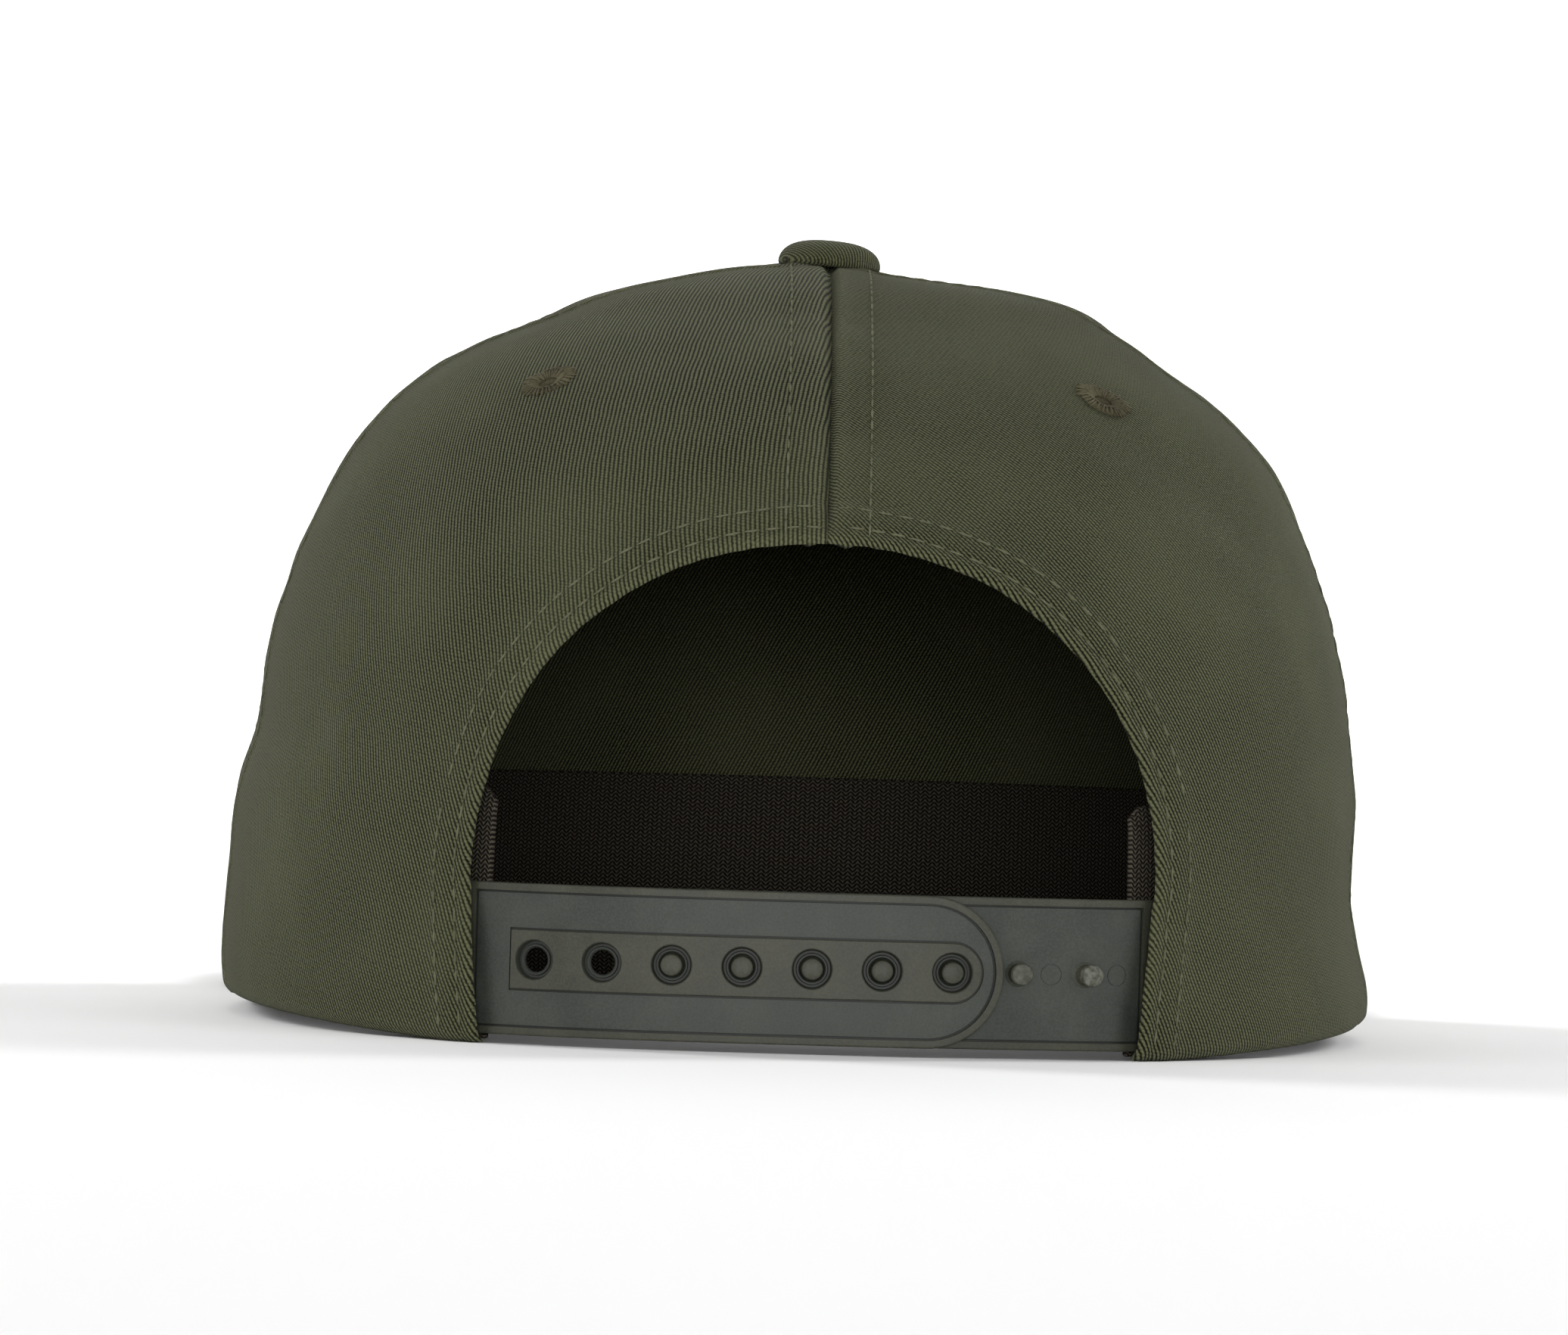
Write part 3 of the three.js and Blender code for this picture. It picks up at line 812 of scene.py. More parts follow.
# %% Cut and sew the five panels
EYELET_HEIGHT = 88.5
BACK_EYELET = math.radians(41)
SIDE_EYELET = (SIDE_SEAM + FRONT_SEAM) / 2
EYELETS = {
    "eyelet_back_left": BACK_EYELET,
    "eyelet_back_right": -BACK_EYELET,
    "eyelet_side_left": SIDE_EYELET,
    "eyelet_side_right": -SIDE_EYELET,
}
eyelet_rise = rise_at_height(EYELET_HEIGHT)
for side, word in ((1, "left"), (-1, "right")):
    seat = crown_face(side * BACK_EYELET, eyelet_rise)
    panel(f"back_panel_{word}", 0, SIDE_SEAM, side, BACK_COLUMNS, seat, (0, SIDE_SEAM))
    seat = crown_face(side * SIDE_EYELET, eyelet_rise)
    panel(f"side_panel_{word}", SIDE_SEAM, FRONT_SEAM, side, SIDE_COLUMNS, seat, (SIDE_SEAM, FRONT_SEAM))
front_seams = (FRONT_SEAM, 2 * math.pi - FRONT_SEAM)
panel("front_panel", *front_seams, 1, BACK_COLUMNS, None, front_seams)

# %% [markdown]
# ## Stitches
#
# Each stitch is a short grain of thread that lies in its dimple. A row is a line on the crown, moved
# sideways by the seam's or the hem's distance and then dropped onto the cloth against the outward
# direction, so that no stitch floats or sinks.

# %% Rows of stitches
STITCH_LENGTH = 2.5
THREAD_RADIUS = 0.18
ROW_STEP = 0.9
SEAM_START = 0.01
ARCH_CLEARANCE = 0.004
random.seed(11)


def on_cloth(guess, outward):
    best = None
    for tree in outer_trees:
        place, _, _, distance = tree.ray_cast(guess + outward * 6, -outward, 12)
        if place is not None and (best is None or distance < best[1]):
            best = (place, distance)
    return best[0] if best else None


def sewn_row(line, offset):
    """Points on the cloth beside a line on the crown, moved sideways by the offset."""
    places = [(crown_face(*point), crown_outward(*point)) for point in line]
    row = []
    for i, (place, outward) in enumerate(places):
        ahead = places[min(i + 1, len(places) - 1)][0] - places[max(i - 1, 0)][0]
        sideways = ahead.cross(outward).normalized()
        found = on_cloth(place + sideways * offset, outward)
        if found is not None:
            row.append((found, outward))
    return row


def add_stitch(bm, start, end, outward, radius):
    along = end - start
    across = outward.cross(along).normalized()
    lift = along.cross(across).normalized()
    turn = Matrix((along.normalized(), across, lift)).transposed().to_4x4()
    size = Matrix.Diagonal((along.length / 2, radius, radius * 0.8, 1))
    centre = Matrix.Translation((start + end) / 2 + lift * radius * 0.35)
    bmesh.ops.create_icosphere(bm, subdivisions=1, radius=1.0, matrix=centre @ turn @ size)


def sew(bm, row):
    runs = distances_along([place for place, _ in row])
    marks = [(run, place, outward) for run, (place, outward) in zip(runs, row)]

    def at(distance):
        for low, high in zip(marks, marks[1:]):
            if high[0] >= distance:
                share = (distance - low[0]) / max(high[0] - low[0], 1e-9)
                return low[1].lerp(high[1], share), low[2]
        return marks[-1][1], marks[-1][2]

    start = 0.3
    while start + STITCH_LENGTH < runs[-1]:
        wander = random.uniform(-0.12, 0.12)
        first, outward = at(start)
        last, _ = at(start + STITCH_LENGTH + wander)
        add_stitch(bm, first, last, outward, THREAD_RADIUS * random.uniform(0.92, 1.08))
        start += STITCH_PITCH


def line_points(line):
    length = evenly(line, HEM_POINTS)[1]
    return evenly(line, max(8, round(length / ROW_STEP)))[0]


# %% Seam stitches
SEAM_LINE_STEPS = 90
BUTTON_COVER_RADIUS = 5.5
BUTTON_COVER_RISE = bisect(0.5, 1.0, lambda rise: plan_radius(0.7, rise) > BUTTON_COVER_RADIUS)
seam_starts = [(0, ARCH_RISE + ARCH_CLEARANCE)]
seam_starts += [(side * seam, SEAM_START) for seam in (SIDE_SEAM, FRONT_SEAM) for side in (1, -1)]
bm = bmesh.new()
for azimuth, start in seam_starts:
    shares = [i / SEAM_LINE_STEPS for i in range(SEAM_LINE_STEPS + 1)]
    line = [(azimuth, mix(start, BUTTON_COVER_RISE, share)) for share in shares]
    for offset in (SEAM_ROW, -SEAM_ROW):
        sew(bm, sewn_row(line_points(line), offset))
print("seams: ", len(bm.faces) // 20, "stitches")
finished("seam_stitches", bm, seam_thread)

# %% Hem stitches
ARCH_FOOT = 33
OUTER_ROW_END = rise_at_height(ARCH_FOOT)
bm = bmesh.new()
for side in (1, -1):
    whole = OUTLINES[side]
    arch = [point for point in whole if point[1] >= OUTER_ROW_END]
    upright = [point for point in whole if point[1] <= OUTER_ROW_END][1:]
    away = -side
    sew(bm, sewn_row(line_points(whole)[2:], away * HEM_ROWS[0]))
    sew(bm, sewn_row(line_points(arch), away * HEM_ROWS[1]))
    sew(bm, sewn_row(line_points(upright), away * HEM_ROWS[1]))
print("hem: ", len(bm.faces) // 20, "stitches")
finished("hem_stitches", bm, seam_thread)

# %% [markdown]
# ## Sewn eyelets
#
# An eyelet is a ring of tight radial stitches round a punched hole. A low spun ring that dips to the hole
# carries them, and on it lie two layers of threads: an inner one that leans into the hole, and an outer one
# that runs down onto the cloth. Their outer ends are a little uneven, as the needle leaves them.

# %% A profile spun round
def spin_profile(bm, profile, centre=0.0, steps=32, closed=False):
    """Spins a line of (radius, height) points a full turn round an upright axis."""
    verts = [bm.verts.new((centre + radius, 0, height)) for radius, height in profile]
    following = verts[1:] + verts[:1] if closed else verts[1:]
    edges = [bm.edges.new(pair) for pair in zip(verts, following)]
    turn = {"cent": (centre, 0, 0), "axis": (0, 0, 1), "angle": 2 * math.pi}
    bmesh.ops.spin(bm, geom=verts + edges, steps=steps, use_merge=True, **turn)


# %% Eyelets
EYELET_RADIUS = 4.25
EYELET_HOLE = 0.95
EYELET_THREADS = 34
THREAD_LAYERS = ((1.05, -0.15, 3.0, 0.62), (2.4, 0.55, EYELET_RADIUS, 0.02))
EYELET_RING = [(1.3, -1.7), (EYELET_HOLE, -0.9), (EYELET_HOLE, -0.5), (1.5, -0.1), (2.6, 0.35)]
EYELET_RING += [(3.3, 0.2), (3.5, -0.3)]


def eyelet(name, azimuth):
    seat = crown_face(azimuth, eyelet_rise)
    outward = crown_outward(azimuth, eyelet_rise)
    upright = Vector((0, 0, 1)) - outward * outward.z
    upright.normalize()
    turn = Matrix((upright.cross(outward), upright, outward)).transposed().to_4x4()
    seat_on_cloth = on_cloth(seat + upright * 3, outward) or seat
    lift = (seat_on_cloth - seat).dot(outward)
    bm = bmesh.new()
    spin_profile(bm, EYELET_RING, steps=40, closed=True)
    bmesh.ops.recalc_face_normals(bm, faces=bm.faces)
    for layer, (inner, low, outer, high) in enumerate(THREAD_LAYERS):
        for i in range(EYELET_THREADS):
            angle = 2 * math.pi * (i + layer / 2 + random.uniform(-0.25, 0.25)) / EYELET_THREADS
            direction = Vector((math.cos(angle), math.sin(angle), 0))
            start = direction * inner + Vector((0, 0, low))
            reach = outer + random.uniform(-0.3, 0.3)
            end = direction * reach + Vector((0, 0, high + random.uniform(-0.1, 0.1)))
            add_stitch(bm, start, end, Vector((0, 0, 1)), random.uniform(0.15, 0.22))
    place = Matrix.Translation(seat + outward * (lift - 0.1)) @ turn
    bmesh.ops.transform(bm, matrix=place, verts=bm.verts)
    return finished(name, bm, eyelet_thread, [name])


for name, azimuth in EYELETS.items():
    eyelet(name, azimuth)
print("eyelets:", list(EYELETS))

# %% [markdown]
# ## The covered button
#
# A flattened dome of metal is covered with a disc of the same twill, gathered under its edge. The dome is a
# profile spun round, and its lower edge gets the small waves of gathered cloth.

# %% Button
BUTTON_RADIUS = 7.2
BUTTON_HEIGHT = 3.4
BUTTON_TILT = math.radians(3.4)
BUTTON_GAP = 0.15
BUTTON_SHANK = 1.6
DOME_STEPS = 16


def button():
    bm = bmesh.new()
    profile = [(0.0, BUTTON_HEIGHT)]
    for i in range(1, DOME_STEPS + 1):
        turn = math.pi / 2 * i / DOME_STEPS
        profile.append((BUTTON_RADIUS * math.sin(turn) ** 0.72, BUTTON_HEIGHT * math.cos(turn) ** 0.9))
    profile += [(BUTTON_RADIUS * 0.985, -0.35), (BUTTON_RADIUS * 0.9, -0.6), (BUTTON_RADIUS * 0.6, -0.45)]
    profile += [(BUTTON_SHANK, -0.3), (BUTTON_SHANK, -4.0), (0.0, -4.0)]
    spin_profile(bm, profile, steps=96)
    bmesh.ops.remove_doubles(bm, verts=bm.verts, dist=1e-4)
    rubbed = bm.verts.layers.float.new("rubbed")
    for vert in bm.verts:
        radius = math.hypot(vert.co.x, vert.co.y)
        vert[rubbed] = 0.3
        if radius > BUTTON_SHANK + 1 and vert.co.z < 1.4:
            angle = math.atan2(vert.co.y, vert.co.x)
            gather = noise.noise(Vector((math.cos(angle), math.sin(angle), 0)) * 5.5) * 0.16
            vert.co.xy *= 1 + gather * (1.4 - vert.co.z) / 2 / radius

    def cover_place(vert):
        gathered = smooth(BUTTON_HEIGHT - vert.co.z, 0.5, BUTTON_HEIGHT)
        return vert.co.xy * (1 + 0.35 * gathered)

    lay_flat(bm, cover_place)
    bmesh.ops.recalc_face_normals(bm, faces=bm.faces)
    turn = Matrix.Rotation(-BUTTON_TILT, 4, "Y")
    bmesh.ops.transform(bm, matrix=turn, verts=bm.verts)
    top = crown_face(0, 1) + Vector((0, 0, BUTTON_GAP))
    bmesh.ops.translate(bm, verts=bm.verts, vec=top)
    return finished("button", bm, twill, ["button"])


button()
print("button made")

# %% [markdown]
# ## Sweatband
#
# A dark tape runs round the inside of the rim and ends just inside the opening, behind the strap, where its
# two ends show as dark tabs. It is one grid between its two ends. Near the opening it steps in to leave
# room for the strap, its top edge leans in a little, and the top corners of its ends are cut round.

# %% Sweatband
BAND_RIM_GAP = 0.4
BAND_HEIGHT = 32.9
BAND_THICKNESS = 1.1
BAND_OPENING_HALF_WIDTH = 42.3
BAND_FIT = 0.65
BAND_TUCK = 0.5
BAND_RADIUS = 88
BAND_COLUMNS, BAND_ROWS = 260, 26
CORNER_RADIUS, CORNER_DROP = 2.0, 1.6
TUCK_FROM, TUCK_TO = 36, 58
STRAP_WIDTH = 19.8
STRAP_RIM_GAP = 1.2
STRAP_THICKNESS = 1.3
STRAP_FIT = 0.5


def sweatband():
    deepest = PANEL_WALL + BAND_FIT + STRAP_THICKNESS + BAND_TUCK
    first = azimuth_at_x(BAND_OPENING_HALF_WIDTH, 0, deepest)
    last = 2 * math.pi + azimuth_at_x(-BAND_OPENING_HALF_WIDTH, 0, deepest)
    rises = {}
    bm = bmesh.new()
    bmesh.ops.create_grid(bm, x_segments=BAND_COLUMNS, y_segments=BAND_ROWS, size=1.0)
    flat = {}
    for vert in bm.verts:
        azimuth = mix(first, last, (vert.co.x + 1) / 2)
        share = (vert.co.y + 1) / 2
        from_back = abs(math.degrees(math.atan2(math.sin(azimuth), math.cos(azimuth))))
        tuck = 1 - smooth(from_back, TUCK_FROM, TUCK_TO)
        from_end = min(azimuth - first, last - azimuth) * BAND_RADIUS
        height = BAND_RIM_GAP + share * BAND_HEIGHT
        height -= share**8 * CORNER_DROP * max(0.0, 1 - from_end / CORNER_RADIUS) ** 2
        level = max(height, tuck * (STRAP_RIM_GAP + STRAP_WIDTH))
        key = round(level, 3)
        if key not in rises:
            rises[key] = rise_at_height(level)
        inset = PANEL_WALL + BAND_FIT + tuck * (STRAP_THICKNESS + BAND_TUCK)
        inset += 0.25 * smooth(share, 0.93, 1.0) + 0.12 * noise.noise(Vector((azimuth * 9, share * 3, 2)))
        place = crown_face(azimuth, rises[key]) - crown_outward(azimuth, rises[key]) * inset
        vert.co = Vector((place.x, place.y, height + curl(azimuth, height / CROWN_HEIGHT)))
        flat[vert.index] = (azimuth * BAND_RADIUS, height)
    bmesh.ops.recalc_face_normals(bm, faces=bm.faces)
    face_towards(bm, lambda centre: centre * Vector((1, 1, 0)))
    lay_flat(bm, lambda vert: flat[vert.index])
    piece = thickened(finished("sweatband", bm, knit_tape, ["sweatband"]), BAND_THICKNESS)
    return soft_edged(piece, 0.35, 2)


sweatband()
print("sweatband made")

# %% [markdown]
# ## The snap strap
#
# Both halves are moulded flat and bend to the head. So each is modelled flat too: a tongue with a round
# tip, a bead round its edge and a recessed field. The outer half also has a raised band with seven
# countersunk holes, and the under half has seven studs and, between them, the shallow rings that ejector
# pins leave. The flat tongue is then cut across into short strips and bent.

# %% The strap's path and its flat parts
STRAP_TUCK = 8.0
STRAP_FLATTENING = 4.0
STRAP_TIP = 25.0
STRAP_MIDDLE = STRAP_RIM_GAP + STRAP_WIDTH / 2
BEAD_WIDTH = 1.0
FIELD = STRAP_THICKNESS - 0.36
FIELD_START = -44.8
ROOT = 0.3
STRAP_ROUNDING, FIELD_ROUNDING, SNAP_BAND_ROUNDING = 0.26, 0.08, 0.16
GROOVE_WIDTH = 0.26
GROOVE_DEPTH = 0.3
SNAP_PITCH = 9.05
SNAP_COUNT = 7
SNAPS_FASTENED = 5
SNAP_FIRST = 18.3
SNAP_HOLE = 1.62
SNAP_SEAT = 2.6
SEAT_DEPTH = 0.72
STUD_RADIUS = 1.42
STUD_HEIGHT = 2.5
MARK_DEPTH = 0.09
MARK_RADIUS = 1.3
SNAP_BAND_HALF = 3.85
SNAP_BAND_START = -39.3
LEAD_IN, LEAD_END = 27.0, 42.0
STRAP_STEPS = 80
ARC_STEPS = 28
BEND_STEP = 1.1


def strap_line():
    rise = rise_at_height(STRAP_MIDDLE + STRAP_WIDTH / 2)
    inset = PANEL_WALL + STRAP_FIT + STRAP_THICKNESS
    end = azimuth_at_x(OPENING_HALF_WIDTH + STRAP_TUCK, rise, inset)
    points = []
    for i in range(-STRAP_STEPS, STRAP_STEPS + 1):
        azimuth = end * i / STRAP_STEPS
        at = crown_face(azimuth, rise) - crown_outward(azimuth, rise) * inset
        share = min(abs(at.x) / OPENING_HALF_WIDTH, 1)
        points.append(Vector((at.x, at.y - STRAP_FLATTENING * (1 - share**2) ** 2, 0)))
    return points


strap_points = strap_line()
strap_run = distances_along(strap_points)
STRAP_LENGTH = strap_run[-1]


def strap_place(along, height, out):
    """A point of the bent strap, from its middle along it, up from its centre line and out from its back."""
    target = min(max(along + STRAP_LENGTH / 2, 0.0), STRAP_LENGTH)
    k = min(next(i for i, run in enumerate(strap_run) if run >= target - 1e-9), len(strap_run) - 2)
    k = max(k - 1, 0)
    share = (target - strap_run[k]) / (strap_run[k + 1] - strap_run[k])
    point = strap_points[k].lerp(strap_points[k + 1], share)
    before = strap_points[max(k - 1, 0)]
    after = strap_points[min(k + 2, len(strap_points) - 1)]
    tangent = (after - before).normalized()
    outward = Vector((-tangent.y, tangent.x, 0))
    return Vector((point.x, point.y, STRAP_MIDDLE + height)) + outward * out


def under_depth(along):
    return -(STRAP_THICKNESS + FIT_GAP) * (1 - smooth(-along, LEAD_IN, LEAD_END))


def tongue_face(bm, start, end, half, level):
    verts = [bm.verts.new((start, -half, level))]
    for i in range(ARC_STEPS + 1):
        turn = -math.pi / 2 + math.pi * i / ARC_STEPS
        verts.append(bm.verts.new((end - half + half * math.cos(turn), half * math.sin(turn), level)))
    verts.append(bm.verts.new((start, half, level)))
    return bm.faces.new(verts)


def tongue(start, end, half, bottom, top, rounding=0.0):
    """A slab with a round end and, if asked for, softened edges."""
    bm = bmesh.new()
    base = tongue_face(bm, start, end, half, bottom)
    raised = bmesh.ops.extrude_face_region(bm, geom=[base])
    top_verts = [item for item in raised["geom"] if isinstance(item, bmesh.types.BMVert)]
    bmesh.ops.translate(bm, verts=top_verts, vec=(0, 0, top - bottom))
    bmesh.ops.recalc_face_normals(bm, faces=bm.faces)
    rims = [edge for edge in bm.edges if abs(edge.verts[0].co.z - edge.verts[1].co.z) < 1e-6]
    if rounding:
        evenly_round = {"offset": rounding, "offset_type": "OFFSET", "segments": 3, "profile": 0.5}
        bmesh.ops.bevel(bm, geom=rims, affect="EDGES", material=-1, **evenly_round)
    return bm


def carve(target, shape, name, operation):
    tool = object_of(shape, name)
    change = target.modifiers.new("carve", "BOOLEAN")
    change.object = tool
    change.operation = operation
    change.solver = "EXACT"
    shape_applied(target)
    bpy.data.objects.remove(tool)


def carve_round(target, centres, profile, name, operation):
    """Joins or cuts the same round shape at each centre on the flat strap."""
    shapes = bmesh.new()
    for centre in centres:
        spin_profile(shapes, profile, centre)
    bmesh.ops.remove_doubles(shapes, verts=shapes.verts, dist=1e-5)
    bmesh.ops.recalc_face_normals(shapes, faces=shapes.faces)
    carve(target, shapes, name, operation)


def flat_half(name):
    """The tongue with its edge bead, its recessed field and the fine groove at the foot of the bead."""
    whole = tongue(-STRAP_LENGTH / 2, STRAP_TIP, STRAP_WIDTH / 2, 0.0, STRAP_THICKNESS, STRAP_ROUNDING)
    body = object_of(whole, name)
    half = STRAP_WIDTH / 2 - BEAD_WIDTH
    end = STRAP_TIP - BEAD_WIDTH
    recess = tongue(FIELD_START, end, half, FIELD - GROOVE_DEPTH, STRAP_THICKNESS + 1)
    carve(body, recess, "recess", "DIFFERENCE")
    start = FIELD_START + GROOVE_WIDTH
    floor = tongue(start, end - GROOVE_WIDTH, half - GROOVE_WIDTH, ROOT, FIELD, FIELD_ROUNDING)
    carve(body, floor, "field", "UNION")
    return body


# %% Where the snaps stand, and bending the flat half
def snap_centres(first):
    return [first - SNAP_PITCH * i for i in range(SNAP_COUNT)]


FIRST_STUD = SNAP_PITCH * (SNAPS_FASTENED - 1) - SNAP_FIRST
LAST_STUD = snap_centres(FIRST_STUD)[-1]


def bend_strap(flat, name, direction, base):
    """Cuts the flat half across, marks its parts for the shader, and bends it to the strap's path."""
    bm = bmesh.new()
    bm.from_mesh(flat.data)
    bpy.data.objects.remove(flat)
    steps = int((STRAP_LENGTH / 2 + STRAP_TIP) / BEND_STEP)
    for i in range(1, steps):
        cut = mix(-STRAP_LENGTH / 2, STRAP_TIP, i / steps)
        whole = bm.verts[:] + bm.edges[:] + bm.faces[:]
        bmesh.ops.bisect_plane(bm, geom=whole, dist=1e-5, plane_co=(cut, 0, 0), plane_no=(1, 0, 0))
    sharp = math.radians(32)
    raised = bm.verts.layers.float.new("raised")
    stud_highlight = bm.verts.layers.float.new("stud_highlight")
    pit_shade = bm.verts.layers.float.new("pit_shade")
    for vert in bm.verts:
        # The first layer marks where shade is painted: the floors of the grooves and seats, and the low
        # sides.
        vert[pit_shade] = 1.0 if 0.2 < vert.co.z < STRAP_THICKNESS - 0.5 else 0.0
        vert[raised] = 1.0 if vert.co.z > STRAP_THICKNESS - 0.2 else 0.0
        # The next lines mark where a highlight is painted: on the tips of the two free studs, full on the
        # last and half on the one before.
        paler_share = 1.0 if vert.co.x < LAST_STUD + SNAP_PITCH / 2 else 0.5
        hidden = vert.co.x > LAST_STUD + SNAP_PITCH * 1.5
        vert[stud_highlight] = paler_share if vert.co.z > STRAP_THICKNESS + 1.2 and not hidden else 0.0
        along = direction * vert.co.x
        vert.co = strap_place(along, -direction * vert.co.y, base(along) + vert.co.z)
    bmesh.ops.remove_doubles(bm, verts=bm.verts, dist=1e-4)
    bmesh.ops.recalc_face_normals(bm, faces=bm.faces)
    for edge in bm.edges:
        edge.smooth = len(edge.link_faces) == 2 and edge.calc_face_angle(0.0) < sharp
    piece = finished(name, bm, strap_plastic, [name])
    shading = piece.modifiers.new("shading", "WEIGHTED_NORMAL")
    shading.keep_sharp = True
    print(name, "has", len(piece.data.polygons), "faces")
    return piece


# %% The outer half with its holes
def hole_strap():
    body = flat_half("outer_half")
    start, end, half = SNAP_BAND_START, SNAP_FIRST + SNAP_BAND_HALF, SNAP_BAND_HALF
    around = (start - GROOVE_WIDTH, end + GROOVE_WIDTH, half + GROOVE_WIDTH)
    carve(body, tongue(*around, FIELD - GROOVE_DEPTH, STRAP_THICKNESS + 1), "moat", "DIFFERENCE")
    raised = tongue(start, end, half, ROOT, STRAP_THICKNESS, SNAP_BAND_ROUNDING)
    carve(body, raised, "raised_band", "UNION")
    rim = 0.16
    floor = STRAP_THICKNESS - SEAT_DEPTH
    profile = [(0, -1), (SNAP_HOLE, -1), (SNAP_HOLE, floor - rim), (SNAP_HOLE + rim, floor)]
    profile += [(SNAP_SEAT - 0.6, floor), (SNAP_SEAT - 0.5, floor - 0.22), (SNAP_SEAT - 0.22, floor - 0.22)]
    profile += [(SNAP_SEAT - 0.1, floor + 0.1), (SNAP_SEAT, STRAP_THICKNESS - 0.1)]
    profile += [(SNAP_SEAT + 0.14, STRAP_THICKNESS + 0.02), (SNAP_SEAT + 0.14, 3), (0, 3)]
    carve_round(body, snap_centres(SNAP_FIRST), profile, "cutters", "DIFFERENCE")
    return bend_strap(body, "strap_with_holes", -1, lambda along: 0.0)


hole_strap()

# %% The under half with its studs
def stud_strap():
    body = flat_half("under_half")
    radius, top = STUD_RADIUS, FIELD + STUD_HEIGHT
    foot = radius + 0.3
    profile = [(0, 0.4), (foot, 0.4), (foot, FIELD), (radius - 0.02, FIELD + 0.3)]
    profile += [(radius - 0.14, FIELD + 1.0), (radius, top - 0.7), (radius, top - 0.42)]
    profile += [(radius - 0.12, top - 0.14), (radius - 0.38, top), (0, top)]
    carve_round(body, snap_centres(FIRST_STUD), profile, "studs", "UNION")
    low, high = FIELD - MARK_DEPTH, FIELD + 1
    inner, outer = MARK_RADIUS, MARK_RADIUS + 0.12
    profile = [(inner, low), (outer, low), (outer + 0.08, high), (inner - 0.08, high), (inner, low)]
    carve_round(body, snap_centres(FIRST_STUD - SNAP_PITCH / 2), profile, "ejector_marks", "DIFFERENCE")
    return bend_strap(body, "strap_with_studs", 1, under_depth)


stud_strap()

# %% [markdown]
# ## The peak
#
# The peak is a stiff board between two layers of twill, sewn through with rows of stitches that follow its
# edge. One grid gives its outline, the wall its thickness, and a bevel rounds the turned edge. The cloth is
# then laid over that edge, so that its ribs run down it instead of stretching.

# %% Peak
PEAK_HALF_WIDTH = 83.5
PEAK_THICKNESS = 3.4
PEAK_EXPONENT = 2.3
PEAK_BELLY = 99.0
PEAK_TAIL = 62.0
PEAK_SPAN = math.radians(65)
PEAK_RISE = 5.0
PEAK_ROWS = 8
PEAK_ROW_STEP = 6.4
PEAK_COLUMNS = 150
PEAK_GRID_ROWS = 90
ROW_SINK = 0.32
UPWARDS = Vector((0, 0, 1))


def peak_edge(from_front):
    belly = PEAK_TIP - PEAK_BELLY
    rim = plan_radius(math.pi + from_front, 0)

    def inside(radius):
        past = radius * math.cos(from_front) - belly
        along = past / PEAK_BELLY if past > 0 else -past / PEAK_TAIL
        aside = abs(radius * math.sin(from_front)) / PEAK_HALF_WIDTH
        return (past < 0 and radius < rim) or along**PEAK_EXPONENT + aside**PEAK_EXPONENT < 1

    return bisect(0.0, 2 * PEAK_TIP, inside)


peak_lines = []
rim_rise = rise_at_height(PEAK_THICKNESS)
for i in range(PEAK_COLUMNS + 1):
    from_front = mix(-PEAK_SPAN, PEAK_SPAN, i / PEAK_COLUMNS)
    azimuth = math.pi + from_front
    rim = max(plan_radius(azimuth, 0), plan_radius(azimuth, rim_rise)) + FIT_GAP
    beyond = max(0.0, peak_edge(from_front) - rim)
    ending = PEAK_THICKNESS * math.sqrt(1.02 - (abs(from_front) / PEAK_SPAN) ** 12)
    peak_lines.append((azimuth, from_front, rim, rim + math.hypot(beyond, ending)))


def peak_height(from_front, share):
    middle = math.cos(from_front / PEAK_SPAN * math.pi / 2) ** 2
    return PEAK_RISE * share**2 * middle


def peak_point(column, radius_share):
    azimuth, from_front, rim, edge = peak_lines[column]
    radius = mix(rim, edge, radius_share)
    z = PEAK_THICKNESS + peak_height(from_front, radius_share)
    return Vector((radius * math.sin(azimuth), radius * math.cos(azimuth), z))


peak_edge_tree = KDTree(PEAK_COLUMNS + 1)
for i in range(PEAK_COLUMNS + 1):
    peak_edge_tree.insert(peak_point(i, 1.0), i)
peak_edge_tree.balance()


def wrap_edge(piece):
    """Lays the cloth over the edge: the further down the edge, the further out on the flat cloth."""
    mesh = shape_applied(piece)
    cloth = mesh.uv_layers["cloth"].data
    for face in mesh.polygons:
        for loop in face.loop_indices:
            x, y, z = (value / MM for value in mesh.vertices[mesh.loops[loop].vertex_index].co)
            y -= CROWN_Y
            nearest, _, distance = peak_edge_tree.find(Vector((x, y, z)))
            on_edge = distance < 2 * PEAK_THICKNESS and face.normal.z < 0.9
            down = max(0.0, nearest.z - z) if on_edge else 0.0
            out = Vector((x, y, 0)).normalized() * down
            cloth[loop].uv = (-x - out.x, -y - out.y)


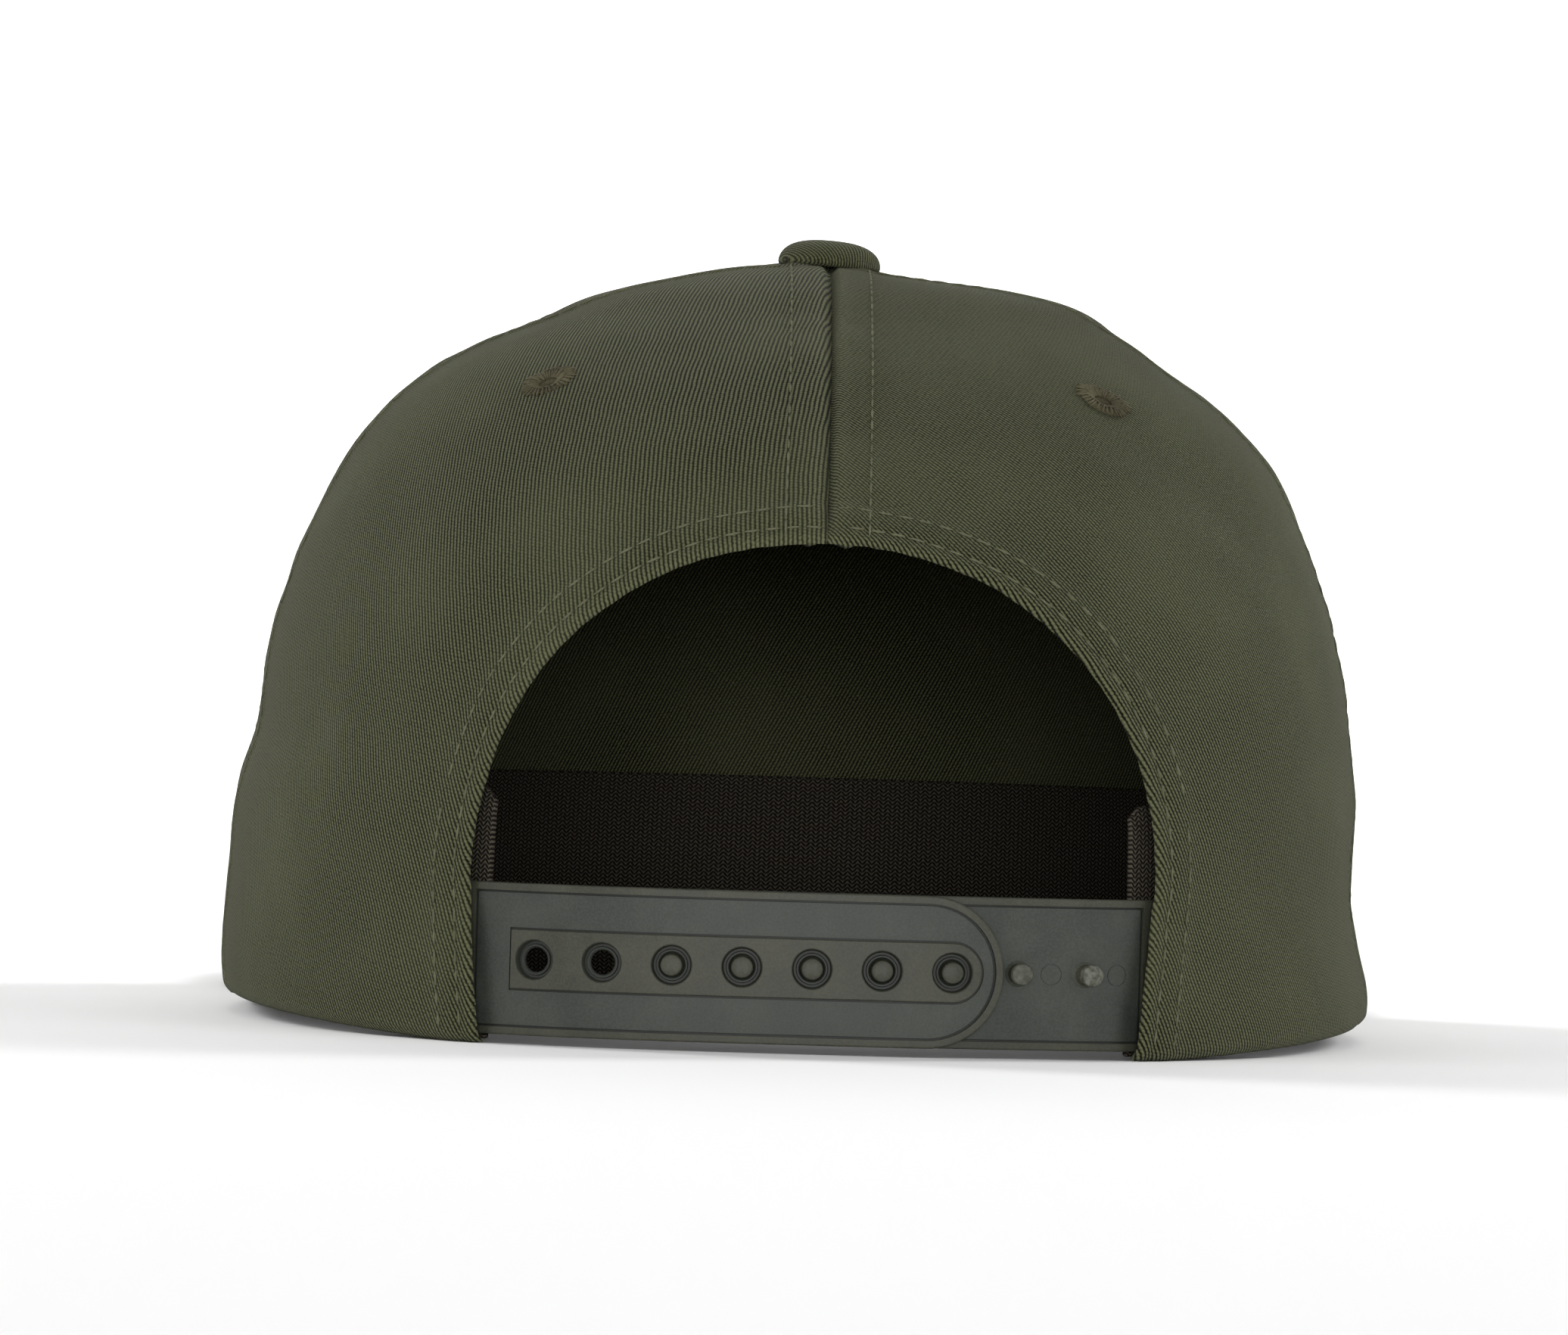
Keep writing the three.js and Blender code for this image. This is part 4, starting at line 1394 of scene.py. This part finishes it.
def peak():
    bm = bmesh.new()
    bmesh.ops.create_grid(bm, x_segments=PEAK_COLUMNS, y_segments=PEAK_GRID_ROWS, size=1.0)
    rubbed = bm.verts.layers.float.new("rubbed")
    for vert in bm.verts:
        column = round((vert.co.x + 1) / 2 * PEAK_COLUMNS)
        place = peak_point(column, (vert.co.y + 1) / 2)
        distance = peak_edge_tree.find(place)[2]
        row = distance / PEAK_ROW_STEP
        in_rows = smooth(PEAK_ROWS + 0.5 - row, 0, 0.2)
        dip = 0.16 * bell((row - round(row)) * PEAK_ROW_STEP, 0.9) * in_rows if row > 0.5 else 0.0
        wave = noise.noise(place / 30) * 0.25 + noise.noise(place / 6) * 0.05
        vert[rubbed] = bell(distance, 1.8)
        vert.co = place + Vector((0, 0, wave - dip - 0.15))
    bmesh.ops.recalc_face_normals(bm, faces=bm.faces)
    face_towards(bm, lambda _: UPWARDS)
    lay_flat(bm, lambda vert: -vert.co.xy)
    piece = thickened(finished("peak", bm, twill, ["peak"]), PEAK_THICKNESS - 0.3)
    wrap_edge(soft_edged(piece, 1.1, 4))
    return piece


def peak_rows():
    """Stitch rows at equal steps in from the peak's edge, on its upper face."""
    bm = bmesh.new()
    for row in range(1, PEAK_ROWS + 1):
        line = []
        wanted = row * PEAK_ROW_STEP
        for column in range(2, PEAK_COLUMNS - 1):

            def too_far_in(share):
                return peak_edge_tree.find(peak_point(column, share))[2] > wanted

            share = bisect(0.0, 1.0, too_far_in)
            if share > 0.02:
                line.append((peak_point(column, share) - UPWARDS * ROW_SINK, UPWARDS))
        if len(line) > 8:
            sew(bm, line)
    print("peak: ", len(bm.faces) // 20, "stitches")
    return finished("peak_stitches", bm, seam_thread)


peak()
peak_rows()

# %% [markdown]
# ## Floor, light and camera
#
# The cap stands on a pale sweep, so that no horizon shows behind it. Two broad lamps, one on either side of
# the camera, and one overhead light it softly. A low lamp behind the camera fills the shadows, and two more
# brighten the backdrop. The camera looks at the back from 1.1 m away and 50 mm above the table, turned by
# the small roll that the picture has.

# %% Stage
SWEEP_HALF_WIDTH = 6.0
SWEEP_LENGTH = 9.0
SWEEP_NEAR_END = 2.6
SWEEP_FLAT = 5.0
SWEEP_BEND = 1.5


def pale_sweep():
    bm = bmesh.new()
    bmesh.ops.create_grid(bm, x_segments=1, y_segments=60, size=1.0)
    for vert in bm.verts:
        run = (vert.co.y + 1) / 2 * SWEEP_LENGTH
        turn = min(max((run - SWEEP_FLAT) / SWEEP_BEND, 0.0), math.pi / 2)
        y = SWEEP_NEAR_END - min(run, SWEEP_FLAT) - SWEEP_BEND * math.sin(turn)
        upright = max(0.0, run - SWEEP_FLAT - SWEEP_BEND * math.pi / 2)
        vert.co = (vert.co.x * SWEEP_HALF_WIDTH, y, SWEEP_BEND * (1 - math.cos(turn)) + upright)
    bmesh.ops.recalc_face_normals(bm, faces=bm.faces)
    face_towards(bm, lambda _: UPWARDS)
    paper = Finish("white_paper", {"Roughness": 0.9, "Base Color": (0.9, 0.9, 0.9, 1)})
    floor = smooth_object(bm, "floor", paper.material)


pale_sweep()

# %% Lamps
def lamp(name, place, target, size, power):
    light = bpy.data.lights.new(name, "AREA")
    light.shape = "RECTANGLE"
    light.size, light.size_y = size
    light.energy = power
    made = bpy.data.objects.new(name, light)
    made.location = place
    made.rotation_euler = (Vector(target) - Vector(place)).to_track_quat("-Z", "Y").to_euler()
    scene.collection.objects.link(made)
    return made


CAP_CENTRE = (0, CROWN_Y * MM, 0.055)
WORLD_STRENGTH = 0.36
lamp("left_softbox", (1.5, 1.1, 0.65), CAP_CENTRE, (1.0, 1.4), 9.5)
lamp("right_softbox", (-1.5, 1.1, 0.65), CAP_CENTRE, (1.0, 1.4), 8.5)
lamp("top_softbox", (0, 0.2, 1.9), CAP_CENTRE, (1.6, 1.6), 3)
lamp("front_fill", (0, 1.9, 0.16), CAP_CENTRE, (0.7, 0.3), 14)
for side in (1, -1):
    lamp("backdrop_light", (2.4 * side, -1.2, 1.6), (-0.4 * side, -3.9, 1.0), (1.2, 1.2), 130)

world = bpy.data.worlds.new("soft_studio")
world.use_nodes = True
world.node_tree.nodes["Background"].inputs["Color"].default_value = (1, 1, 1, 1)
world.node_tree.nodes["Background"].inputs["Strength"].default_value = WORLD_STRENGTH
scene.world = world
scene.view_settings.view_transform = "Standard"

# %% Camera
CAMERA_DISTANCE = 1.1
CAMERA_HEIGHT = 0.05
CAMERA_YAW = math.radians(1.2)
CAMERA_ROLL = math.radians(1.7)
AIM_SHIFT = 0.0027
FOCAL_LENGTH = 179.0


def photo_camera():
    lens = bpy.data.cameras.new("camera")
    lens.lens = FOCAL_LENGTH
    lens.sensor_width = 36.0
    lens.clip_end = 50.0
    camera = bpy.data.objects.new("camera", lens)
    offset = Vector((math.sin(CAMERA_YAW), math.cos(CAMERA_YAW), 0)) * CAMERA_DISTANCE
    camera.location = Vector((AIM_SHIFT, CROWN_Y * MM, CAMERA_HEIGHT)) + offset
    look = (-offset).to_track_quat("-Z", "Y").to_matrix().to_4x4()
    camera.rotation_euler = (look @ Matrix.Rotation(CAMERA_ROLL, 4, "Z")).to_euler()
    scene.collection.objects.link(camera)
    scene.camera = camera
    return camera


photo_camera()
